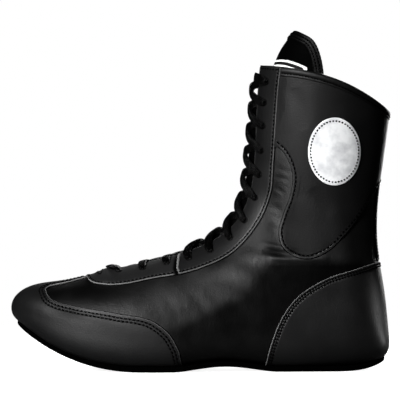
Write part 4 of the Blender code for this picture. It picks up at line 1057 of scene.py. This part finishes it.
# Painted shade on the shaft panel's lower front.
lobe_shade = LOBE_SHADE * ramp(at[..., 0], LOBE_BACK_X, LOBE_RUN_X) * ramp(at[..., 2], LOBE_TOP_Z, LOBE_RUN_Z)
lobe_shade[:ROWS_TO_STITCHES] *= LOBE_EDGE_SHARE
raise_mark(shaft_panel, "groove_and_painted_shade", lobe_shade)
overlay("shaft_panel", shaft_panel, SHAFT_PITCH)

# Back strip: a narrow leather stay on the back centre, between heel counter and shaft panel.
# It covers the seam of the two quarters and is stitched along both edges.
STRIP_HALF = 9.5
STRIP_TUCK = 0.12
STRIP_SINK = 0.5
counter_top, shaft_low = counter_edge[-1, 0], shaft_edge[-1, 0]
strip_p = np.linspace(counter_top - STRIP_TUCK, shaft_low + STRIP_TUCK, 70)
grid_t = np.linspace(1.0, 2.0, 501)
strip_t = [nearest(grid_t, np.abs(outer_point(p, grid_t)[:, 1]), STRIP_HALF) for p in strip_p]
under_end = (strip_p < counter_top + 0.01) | (strip_p > shaft_low - 0.01)
back_centre = np.column_stack([strip_p, np.full(70, 2.0)])
back_strip = panel(np.column_stack([strip_p, strip_t]), back_centre, (1.9,), 10, bare=0.4)
back_strip["lift"] -= STRIP_SINK * under_end
back_strip["rows"] = [row[~under_end] for row in back_strip["rows"]]
overlay("back_strip", back_strip)

# Tongue: one full-length strip of soft leather under the lace, standing above the collar.
# Its edge is bound with a folded strip that is held by two rows of stitches.
TONGUE_START = 6.95
TONGUE_TOP = 23.0
TONGUE_HALF_WALL = 1.1
TONGUE_TIP = 20.0
TONGUE_NARROW, TONGUE_SPREAD = 0.42, 0.55
FACE_DEPTH, TIP_DROP, TIP_RISE = 2.7, 2.4, 3.2
LEAN_START, LEAN_RUN, LEAN_DEPTH = 18.5, 2.8, 8.4
SWELL_HEIGHTS = ((9.6, 10.2, 11.5, 13.5), (1.0, 4.4, 5.0, 5.4))  # section, height
BOUND_WIDTH, BOUND_START = 7.0, 17.5
BOUND_THICK, FACE_DULL_AND_SHADE = 0.6, 0.97
RIM_ROUND = 1.6
TONGUE_STITCH_ROWS = (2.7, 5.2)
CLOSE_FROM, CLOSE_RUN = 19.6, 3.4
FAN_SECTION, FAN_HEIGHT = 20.6, 2.4


def tip_share(p):
    """How far a section is up the rounded top of the tongue, from 0 to 1."""
    return ramp(p, TONGUE_TIP, TONGUE_TOP - TONGUE_TIP)


def tongue_reach(p):
    """How far round the section the tongue reaches: a power curve, closed by a superellipse at its top."""
    spread_out = ramp(p, TONGUE_START, TONGUE_TIP - TONGUE_START)
    return (TONGUE_NARROW + TONGUE_SPREAD * spread_out**1.5) * (1.0 - tip_share(p)**2.4)**(1.0 / 2.5)


def tongue_depth(p):
    """Depth of the tongue's face below the last: it leans in towards the collar by a smooth step."""
    return FACE_DEPTH + LEAN_DEPTH * eased((p - LEAN_START) / LEAN_RUN) + TIP_DROP * tip_share(p)**3


def tongue_swell(p):
    """How far the tongue swells up between the stays: more on the shaft than on the vamp, not at its ends."""
    return np.interp(p, *SWELL_HEIGHTS) * eased(ramp(p, 7.3, 0.7) * ramp(p, 20.6, -1.6))


def tongue_point(p, across, depth):
    """A point of the tongue: across runs from -1 on the outer edge to 1 on the inner edge, depth goes in.

    The swell is a bell over the width of the throat, and the top edge rises by a sine towards its sides.
    """
    t = tongue_reach(p) * np.abs(across)
    points = []
    for side in BOTH_SIDES:
        flat = last_point(p, t, side, 0.0)
        off = np.abs(flat[..., 1] - last_point(p, 0.0 * t, side, 0.0)[..., 1])
        bell = np.clip(1.0 - (off / np.maximum(throat_half(p), 1.0))**2, 0.0, 1.0)**1.5
        below = tongue_depth(p) + depth - tongue_swell(p) * bell
        points.append(flat - below[..., None] * last_normal(p, t, side, 0.0))
    made = np.where((across < 0.0)[..., None], points[0], points[1])
    made[..., 2] += TIP_RISE * tip_share(p)**2 * np.sin(math.pi / 2 * np.minimum(t / 0.5, 1.0))
    return made


tongue_p = np.concatenate([
    np.linspace(TONGUE_START, CLOSE_FROM, 120),
    CLOSE_FROM + CLOSE_RUN * np.sin(np.linspace(0.0, 1.0, 90)[1:] * math.pi / 2),
])
tongue_across = np.sin(np.linspace(-1.0, 1.0, 91) * math.pi / 2)
rows, columns = np.meshgrid(tongue_p, tongue_across, indexing="ij")
middle = tongue_point(rows, columns, np.full_like(rows, TONGUE_HALF_WALL))
rim = np.concatenate([middle[:, 0], middle[-1], middle[::-1, -1]])[::3]
to_rim = np.sqrt(np.min(np.sum((middle[:, :, None] - rim)**2, axis=-1), axis=-1))
bound = ramp(to_rim, BOUND_WIDTH, -0.5) * ramp(rows, BOUND_START, 0.5)
# Stitch grooves on the bound edge: sunk in the face and darkened by painted shade.
groove_and_painted_shade = sum(np.exp(-((to_rim - inset) / 0.45)**2) for inset in TONGUE_STITCH_ROWS) * (rows > 18.0)
rounding = ramp(to_rim, 0.0, RIM_ROUND)
wall = TONGUE_HALF_WALL * np.sqrt(rounding * (2.0 - rounding))
face = tongue_point(rows, columns, TONGUE_HALF_WALL - wall - BOUND_THICK * bound * (wall > 0) + 0.3 * groove_and_painted_shade)
back = tongue_point(rows, columns, TONGUE_HALF_WALL + wall)
outward = unit(face - back + 1e-6)
tongue_leather = leather_finish("tongue_leather", (0.001, 0.001, 0.001), 0.5, 0.09)


def tongue_row(inset):
    """Points and outward directions on the face at a distance from its rim, on rays from its middle."""
    turn = np.linspace(-1.75, 1.75, 161)[:, None]
    reach = np.linspace(0.0, 1.7, 340)[None, :]
    fan_p = FAN_SECTION + FAN_HEIGHT * reach * np.cos(turn)
    row_at = np.interp(fan_p, tongue_p, np.arange(len(tongue_p)))
    column_at = np.interp(reach * np.sin(turn), tongue_across, np.arange(len(tongue_across)))
    away = to_rim[row_at.round().astype(int), column_at.round().astype(int)]
    stop = np.argmax(away < inset, axis=1)
    ray = np.arange(len(turn))
    row, column = row_at[ray, stop], column_at[ray, stop]
    p = np.interp(row, np.arange(len(tongue_p)), tongue_p)
    across = np.interp(column, np.arange(len(tongue_across)), tongue_across)
    p, across = (np.convolve(np.pad(v, 3, mode="edge"), np.full(7, 1.0 / 7.0), "valid") for v in (p, across))
    level = np.full_like(p, -BOUND_THICK)
    points = tongue_point(p, across, level)
    return points, unit(tongue_point(p, across, level - 1.0) - points)


# The face inside the bound edge is made near black and glossless: partly its own duller finish, and painted
# shade under the lace on the lower tongue.
face_marks = {"groove_and_painted_shade": np.maximum(groove_and_painted_shade, FACE_DULL_AND_SHADE - FACE_DULL_AND_SHADE * bound)}
piece("tongue_leather", [(face, outward, face_marks), (back, -outward, {})], tongue_leather,
      ["tongue"])
sewing = [block for inset in TONGUE_STITCH_ROWS for block in stitch_blocks(*tongue_row(inset))]
piece("tongue_stitches", sewing, thread)

# Tongue label: a plain white woven label with a black line inside its edge, sewn on the front of the tongue.
# Its lower part goes down behind the collar.
LABEL_TOP = 21.43
LABEL_HALF = 0.8
LABEL_SLOPE = 0.24
LABEL_LENGTH = 0.83
LABEL_LINE = (0.1, 0.25)
LABEL_BLACK, LABEL_WHITE = (0.002, 0.002, 0.002), (0.85, 0.85, 0.85)
label_down = np.concatenate([[0.0], np.linspace(0.0, LABEL_LENGTH, 90), [LABEL_LENGTH]])
label_across = np.concatenate([[-LABEL_HALF], np.linspace(-LABEL_HALF, LABEL_HALF, 121), [LABEL_HALF]])
top_line = tongue_point(np.full_like(label_across, LABEL_TOP), label_across, 0.0 * label_across)[:, 0]
down, columns = np.meshgrid(label_down, label_across, indexing="ij")
rows = LABEL_TOP - LABEL_SLOPE * (top_line - top_line.min()) / 16.0 - down
raised = np.full_like(rows, -0.4)
raised[[0, -1]] = 0.3
raised[:, [0, -1]] = 0.3
from_rim = np.minimum(down, (LABEL_HALF - np.abs(columns)) * 2.2)
border = ((from_rim < LABEL_LINE[0]) | (from_rim > LABEL_LINE[1])).astype(float)
label_grid = tongue_point(rows, columns, raised)
label_cloth, tree, shader = finish_named("woven_label", LABEL_BLACK, 0.8, 0.2)
woven_tone = blend(tree, value_of(tree, "border"), LABEL_BLACK, LABEL_WHITE)
tree.links.new(woven_tone, shader.inputs["Base Color"])
ribs = texture(tree, "Wave", object_place(tree), {"Scale": 500.0}, bands_direction="Z")
bump_from(tree, shader, ribs, 0.3, 0.0002)
outward = tongue_point(rows, columns, raised - 1.0) - label_grid
piece("tongue_label", [(label_grid, outward, {"border": border})], label_cloth)

# Collar binding: a soft leather strip folded over the top edge, from one eyestay round the back to the other.
# One row of stitches runs through both of its sides.
BINDING_START_X = 62.5
BINDING_DIP, BINDING_DIP_RUN = 2.5, 52.0
BINDING_ROW, BINDING_ROW_OUT = 2.6, 1.62
BINDING_PROFILE = np.array([
    # out from the last, up from the edge
    (1.35, -4.7), (1.75, -4.5), (1.9, -4.0), (1.75, -3.1), (1.5, -2.6), (1.75, -2.1), (2.0, -1.0),
    (1.9, 0.4), (1.4, 1.4), (0.4, 2.0), (-1.2, 2.1), (-2.6, 1.7), (-3.3, 0.8), (-3.5, -0.6),
    (-3.4, -2.4), (-3.3, -4.4), (-2.6, -4.6),
])


def collar_frame(t, side):
    """Points of the collar's edge with the directions out of the last and up to the edge."""
    half = throat_half(COLLAR)
    edge = last_point(COLLAR, t, side, half)
    out = last_normal(np.full_like(t, COLLAR), t, side, half)
    up = edge - last_point(COLLAR - 0.1, t, side, half)
    on_back = np.abs(t - 2.0) < 1e-9
    out[on_back, 1] = 0.0
    up[on_back, 1] = 0.0
    return edge, unit(out), unit(up)


binding_t = np.linspace(collar_step(BINDING_START_X), 2.0, 150)
blocks, sewing = [], []
for side in BOTH_SIDES:
    edge, out, up = collar_frame(binding_t, side)
    edge = edge - BINDING_DIP * (1.0 - ramp(edge[:, :1], BINDING_START_X, BINDING_DIP_RUN))**1.4 * up
    grid = edge[:, None] + BINDING_PROFILE[:, :1] * out[:, None] + BINDING_PROFILE[:, 1:] * up[:, None]
    centre = edge[:, None] - 0.8 * out[:, None] - 1.0 * up[:, None]
    groove = np.exp(-((BINDING_PROFILE[:, 1] + BINDING_ROW) / 0.4)**2) * (BINDING_PROFILE[:, 0] > 0.0)
    # Painted shade darkens the stitch groove.
    blocks.append((grid, grid - centre, {"groove_and_painted_shade": 0.8 * groove[None, :]}))
    tip = np.stack([grid[0], centre[0] + 0.0 * grid[0]])
    blocks.append((tip, np.broadcast_to(edge[0] - edge[3], tip.shape), {}))
    sewing += stitch_blocks(edge + BINDING_ROW_OUT * out - BINDING_ROW * up, out)
binding_leather = leather_finish("binding_leather", (0.001, 0.001, 0.001), 0.5, 0.25)
piece("collar_binding_leather", blocks, binding_leather, ["collar_binding"])
piece("collar_binding_stitches", sewing, thread)

# Ankle patch: a plain oval of crinkled silver film on the outer side of the shaft.
# It is glued on, with one row of black stitches just inside its edge.
PATCH_CENTRE = (101.0, 166.0)
PATCH_RADII = (19.5, 25.5)
PATCH_TOP = 2.1
PATCH_STITCH_RING = 23
PATCH_TONES = ((0.32, 0.6, 0.61, 0.63), (0.62, 0.93, 0.94, 0.95))  # place on the ramp, colour
silver, tree, shader = finish_named("silver_film", (0.8, 0.81, 0.83), 0.42)
place = object_place(tree)
cloud = texture(tree, "Noise", place, {"Scale": 120.0, "Detail": 6.0})
tone = add_node(tree, "ShaderNodeValToRGB", [("Fac", cloud)])
for element, (position, *colour) in zip(tone.color_ramp.elements, PATCH_TONES):
    element.position = position
    element.color = (*colour, 1.0)
tree.links.new(tone.outputs["Color"], shader.inputs["Base Color"])
bump_from(tree, shader, texture(tree, "Noise", place, {"Scale": 420.0, "Detail": 5.0}), 0.4, 0.0005)
shader.inputs["Metallic"].default_value = 0.1
turn = np.linspace(0.0, 2 * math.pi, 121)
share = np.concatenate([np.linspace(0.0, 0.9, 24), [0.93, 0.96, 0.985, 1.0, 1.0]])
patch_x = PATCH_CENTRE[0] + PATCH_RADII[0] * share[:, None] * np.cos(turn)
patch_z = PATCH_CENTRE[1] + PATCH_RADII[1] * share[:, None] * np.sin(turn)
p, t, _ = settle(patch_x.ravel(), patch_z.ravel())
lift = np.full(len(share), PATCH_TOP)
lift[-2:] = (PATCH_TOP - 0.25, OVERLAY_TOP - 0.3)
patch_points, patch_normals = skin(p.reshape(patch_x.shape), t.reshape(patch_x.shape), -1, lift[:, None])
piece("ankle_patch_film", [(patch_points, patch_normals, {})], silver, ["ankle_patch"])
patch_sewing = stitch_blocks(patch_points[PATCH_STITCH_RING], patch_normals[PATCH_STITCH_RING])
piece("ankle_patch_stitches", patch_sewing, thread)

# Eyelets: small black enamelled brass rings, thirteen on each side, set through stay and upper.
# Each is a turned ring with a barrel that goes down through the leather.
EYELETS = np.array([
    # x, z in the side view
    (-61.4, 74.2), (-43.2, 76.4), (-25.0, 80.4), (-8.3, 84.2), (8.3, 90.0), (23.5, 100.0), (34.9, 113.6),
    (43.0, 131.0), (46.2, 149.0), (47.8, 167.4), (49.0, 186.0), (50.0, 203.6), (51.6, 219.4),
])
EYELET_PROFILE = np.array([
    # radius, height above the stay
    (2.6, -0.2), (2.65, 0.1), (2.5, 0.3), (2.3, 0.4), (2.1, 0.38), (1.9, 0.2), (1.8, -0.15), (1.75, -2.6),
    (0.0, -2.6),
])
enamel, tree, shader = finish_named("black_metal", (0.001, 0.001, 0.001), 0.7, 0.08)
scratch = texture(tree, "Noise", object_place(tree), {"Scale": 700.0, "Detail": 4.0})
bump_from(tree, shader, scratch, 0.15, 0.0001)
eyelet_p, eyelet_t, _ = settle(*EYELETS.T)
turn = np.linspace(0.0, 2 * math.pi, 25)
for word, side in zip(("outer", "inner"), BOTH_SIDES):
    seats, up = skin(eyelet_p, eyelet_t, side, OVERLAY_TOP + front_swell(eyelet_p, eyelet_t))
    ahead = unit(np.cross(up, ACROSS))
    across = np.cross(up, ahead)
    ring = np.cos(turn)[:, None] * ahead[:, None] + np.sin(turn)[:, None] * across[:, None]
    grid = (seats[:, None, None] + EYELET_PROFILE[:, 0, None, None] * ring[:, None]
            + EYELET_PROFILE[:, 1, None, None] * up[:, None, None])
    blocks = [(one, way, {}) for one, way in zip(grid, up)]
    piece("eyelets_" + word, blocks, enamel, [f"eyelet_{word}_{k:02d}" for k in range(1, 14)])

# Lace: one flat woven black lace, 6 mm wide. It bridges the front before the throat, goes down through the
# lowest eyelets, and criss-crosses upwards: out of an eyelet, over the throat, and under the opposite stay.
LACE_HALF_WIDTH = 3.1
LACE_HALF_THICK = 0.95
LACE_CROSSING = 1.0
LACE_SQUARE, LACE_FLATTEN = 0.75, 0.8
THROAT_TILT = 0.35
STRAND = np.array([
    # share of the way to the next eyelet, place across, lift, share of full width
    # place across: 1 to 2 from the throat's edge to the eyelet on the strand's own side, -1 to -2 opposite
    (0.00, 2.00, -1.8, 0.62), (0.00, 2.02, 1.0, 0.7), (-0.01, 1.92, 2.3, 0.85), (-0.02, 1.55, 2.5, 1.0),
    (0.03, 1.05, 2.7, 1.05), (0.20, 0.55, 3.3, 1.05), (0.50, 0.00, 3.3, 1.0), (0.72, -0.50, 2.3, 1.0),
    (0.86, -0.92, -0.8, 1.0), (0.95, -1.40, -3.3, 0.9), (1.00, -1.95, -3.4, 0.6),
])
FIRST_STRAND = np.array([
    # the same for the lowest pair, which crosses under both stays
    (0.00, 2.00, -1.8, 0.55), (0.03, 1.70, -3.3, 0.8), (0.18, 1.05, -2.8, 1.0), (0.34, 0.55, -1.4, 1.0),
    (0.52, 0.00, -0.7, 1.0), (0.68, -0.55, -1.4, 1.0), (0.84, -1.05, -2.8, 1.0), (0.95, -1.60, -3.3, 0.9),
    (1.00, -1.95, -3.4, 0.6),
])
FRONT_BAR = np.array([
    # sections before the lowest eyelet, place across, lift, share of full width
    (0.00, 2.00, 0.8, 0.55), (0.02, 1.92, 2.2, 0.62), (0.12, 1.55, 3.0, 0.85), (0.24, 1.05, 3.4, 1.0),
    (0.31, 0.50, 3.7, 1.0), (0.33, 0.00, 3.8, 1.0),
])
TOP_END = np.array([
    # place across, lift, share of full width
    (2.0, -1.8, 0.62), (2.02, 1.0, 0.75), (1.9, 2.4, 0.95), (1.5, 2.8, 1.3), (1.05, 3.2, 1.55),
    (0.65, 3.0, 1.6), (0.45, 0.0, 1.4), (0.5, -2.6, 1.2),
])
VAMP_CROSSING_SHARE = 0.55
HIGH_RISE, HIGH_DROP = 2.2, 1.6
SUNK_PAIRS, SUNK_DEPTH = (1, 2), 3.2


def lace_place(p, t_eyelet, across, side, lift):
    """A point over throat or stay: across 0 is the middle, 1 the throat's edge and 2 the eyelet."""
    side = side if across >= 0.0 else -side
    across = abs(across)
    t = t_eyelet * max(across - 1.0, 0.0)
    half = max(float(throat_half(p)), 7.0) * min(across, 1.0)
    normal = last_normal(p, t, side, half)
    return last_point(p, t, side, half) + lift * normal


def strand_points(k, side):
    """Points and widths of one strand from an eyelet to the next one opposite, higher on the shaft.

    Bells of the place across raise one strand over the other at the crossing, lift both on the shaft, and
    sink the pairs that lie deep in the throat.
    """
    over = -side * LACE_CROSSING * (VAMP_CROSSING_SHARE if k < 3 else 1.0)
    high = HIGH_RISE * ramp(k, 3.0, 4.0) - HIGH_DROP * ramp(k, 8.0, 2.0)
    sunk = SUNK_DEPTH if k in SUNK_PAIRS else 0.0
    points = []
    for step, across, lift, width in STRAND if k else FIRST_STRAND:
        p = eyelet_p[k] + step * (eyelet_p[k + 1] - eyelet_p[k])
        t = eyelet_t[k] + step * (eyelet_t[k + 1] - eyelet_t[k])
        lift += over * math.exp(-(across / 0.6)**2) + high * math.exp(-((across - 0.55) / 0.75)**4)
        lift -= sunk * math.exp(-((across - 0.1) / 0.75)**4)
        points.append((*lace_place(p, t, across, side, lift), width))
    return points


def half_lace(first_side):
    """One half of the lace from its lowest eyelet to the top one."""
    points = []
    side = first_side
    for k in range(12):
        points += strand_points(k, side)
        side = -side
    for across, lift, width in TOP_END:
        top_p = eyelet_p[-1] + 0.02 * (2.0 - across)
        points.append((*lace_place(top_p, eyelet_t[-1], across, side, lift), width))
    return points


bar = [(*lace_place(eyelet_p[0] - ahead, eyelet_t[0], across, side, lift), width)
       for side, part in ((-1, FRONT_BAR), (1, FRONT_BAR[-2::-1])) for ahead, across, lift, width in part]
lace_route = np.array(half_lace(-1)[::-1] + bar + half_lace(1))


def through(points, steps):
    """Catmull-Rom curve through points, steps to a span."""
    padded = np.vstack([2 * points[0] - points[1], points, 2 * points[-1] - points[-2]])
    a, b, c, d = padded[:-3, None], padded[1:-2, None], padded[2:-1, None], padded[3:, None]
    u = (np.arange(steps) / steps)[None, :, None]
    curve = 0.5 * (2 * b + (c - a) * u + (2 * a - 5 * b + 4 * c - d) * u**2 + (3 * b - a - 3 * c + d) * u**3)
    return np.vstack([curve.reshape(-1, points.shape[1]), points[-1:]])


lace_curve = through(lace_route, 9)
lace_line, lace_width = lace_curve[:, :3], np.clip(lace_curve[:, 3:], 0.5, 1.6)
run = unit(np.gradient(lace_line, axis=0))
length = lengths_along(lace_line)
ridge_p = np.interp(lace_line[:, 0] + THROAT_TILT * lace_line[:, 2],
                    EYELETS[:, 0] + THROAT_TILT * EYELETS[:, 1], eyelet_p)
throat_way = unit(last_point(ridge_p + 0.1, 0.0, -1, 0.0) - last_point(ridge_p - 0.1, 0.0, -1, 0.0))
wide = unit(throat_way - np.sum(throat_way * run, axis=1, keepdims=True) * run)
thick = np.cross(run, wide)
turn = np.linspace(0.0, 2 * math.pi, 15)
flat_x = np.sign(np.cos(turn)) * np.abs(np.cos(turn))**LACE_SQUARE
flat_y = np.sign(np.sin(turn)) * np.abs(np.sin(turn))**LACE_SQUARE
section = (flat_x[:, None] * (LACE_HALF_WIDTH * lace_width * wide)[:, None]
           + flat_y[:, None] * (LACE_HALF_THICK / lace_width**LACE_FLATTEN * thick)[:, None])
lace_grid = lace_line[:, None] + section
woven, tree, shader = finish_named("black_lace", (0.0004, 0.0004, 0.0004), 0.36, 0.12)
weave_uv = add_node(tree, "ShaderNodeUVMap", uv_map="UVMap").outputs["UV"]
under = None
for way in (1.0, -1.0):
    turned = add_node(tree, "ShaderNodeMapping", [("Vector", weave_uv), ("Scale", (way, 1.0, 1.0))])
    braid = texture(tree, "Wave", turned.outputs["Vector"], {"Scale": 2.2}, bands_direction="DIAGONAL")
    under = bump_from(tree, shader, braid, 0.9, 0.0006, under)
uv_x = length[:, None] + 0.0 * turn
uv_y = 12.0 * turn / (2 * math.pi) + 0.0 * length[:, None]
ends = []
for row in (0, -1):
    cap = np.stack([lace_grid[row], np.broadcast_to(lace_line[row], lace_grid[row].shape)])
    ends.append((cap, np.broadcast_to(run[row] * (1.0 if row else -1.0), cap.shape), {}))
piece("lace", [(lace_grid, section, {"uv_x": uv_x, "uv_y": uv_y})] + ends, woven,
      ["lace_front_bar"] + [f"lace_cross_{k:02d}" for k in range(1, 13)])

# Studio: a round pale floor that fades out into a white surround, with soft lights.
# A soft light stands before the toe side, a large one on the inner side, and a small low one behind the heel.
FLOOR_RADIUS = 0.75
FLOOR_FULL = 0.22
FLOOR_SINK = 0.0002
pale, tree, shader = finish_named("pale_floor", (0.88, 0.88, 0.88), 0.9)
shader.inputs["Emission Color"].default_value = (1.0, 1.0, 1.0, 1.0)
seen = add_node(tree, "ShaderNodeLightPath").outputs["Is Camera Ray"]
tree.links.new(mapped(tree, seen, 0.0, 0.92), shader.inputs["Emission Strength"])
tree.links.new(mapped(tree, seen, 0.03, 0.88), shader.inputs["Base Color"])
reach = add_node(tree, "ShaderNodeVectorMath", [(0, object_place(tree))], operation="LENGTH").outputs["Value"]
fade = mapped(tree, reach, 1.0, 0.0, FLOOR_FULL, FLOOR_RADIUS, interpolation_type="SMOOTHSTEP")
tree.links.new(fade, shader.inputs["Alpha"])
turn = np.linspace(0.0, 2 * math.pi, 97)[:-1]
ring = np.column_stack([np.cos(turn), np.sin(turn), 0.0 * turn]) * FLOOR_RADIUS - FLOOR_SINK * UP
mesh = bpy.data.meshes.new("floor")
mesh.from_pydata(ring.tolist(), [], [list(range(len(ring)))])
mesh.materials.append(pale)
floor = bpy.data.objects.new("floor", mesh)
bpy.context.collection.objects.link(floor)


def softbox(name, place, target, width, height, power, spread_angle):
    """An area light that looks from its place to a target, in metres, watts and degrees."""
    light = bpy.data.lights.new(name, "AREA")
    light.shape = "RECTANGLE"
    light.size = width
    light.size_y = height
    light.spread = math.radians(spread_angle)
    light.energy = power
    lamp = bpy.data.objects.new(name, light)
    lamp.location = place
    away = np.array(target) - np.array(place)
    flat = math.hypot(away[0], away[1])
    lamp.rotation_euler = (math.atan2(flat, -away[2]), 0.0, math.atan2(-away[0], away[1]))
    bpy.context.collection.objects.link(lamp)


softbox("key_light", (-0.76, -1.08, 0.63), (-0.085, 0.0, 0.035), 0.4, 0.9, 3.4, 29.0)
softbox("inner_side_light", (0.5, 1.5, 0.6), (0.0, 0.0, 0.1), 1.0, 1.0, 26.0, 180.0)
softbox("heel_light", (1.35, 0.15, 0.03), (0.14, -0.01, 0.032), 0.04, 0.03, 0.005, 4.0)
world = bpy.data.worlds.new("studio")
bpy.context.scene.world = world
world.use_nodes = True
tree = world.node_tree
seen = add_node(tree, "ShaderNodeLightPath").outputs["Is Camera Ray"]
tree.nodes["Background"].inputs["Color"].default_value = (1.0, 1.0, 1.0, 1.0)
tree.links.new(mapped(tree, seen, 0.008, 1.0), tree.nodes["Background"].inputs["Strength"])
bpy.context.scene.view_settings.view_transform = "Standard"

LENS_SENSOR, LENS_AWAY, PICTURE_WIDTH = 36.0, 2000.0, 306.4
lens = bpy.data.cameras.new("camera")
lens.sensor_width = LENS_SENSOR
lens.lens = LENS_SENSOR * LENS_AWAY / PICTURE_WIDTH
camera = bpy.data.objects.new("camera", lens)
camera.location = (-0.0002, -1.9985, 0.1295)
camera.rotation_euler = (math.pi / 2, 0.0, 0.0)
bpy.context.collection.objects.link(camera)
bpy.context.scene.camera = camera
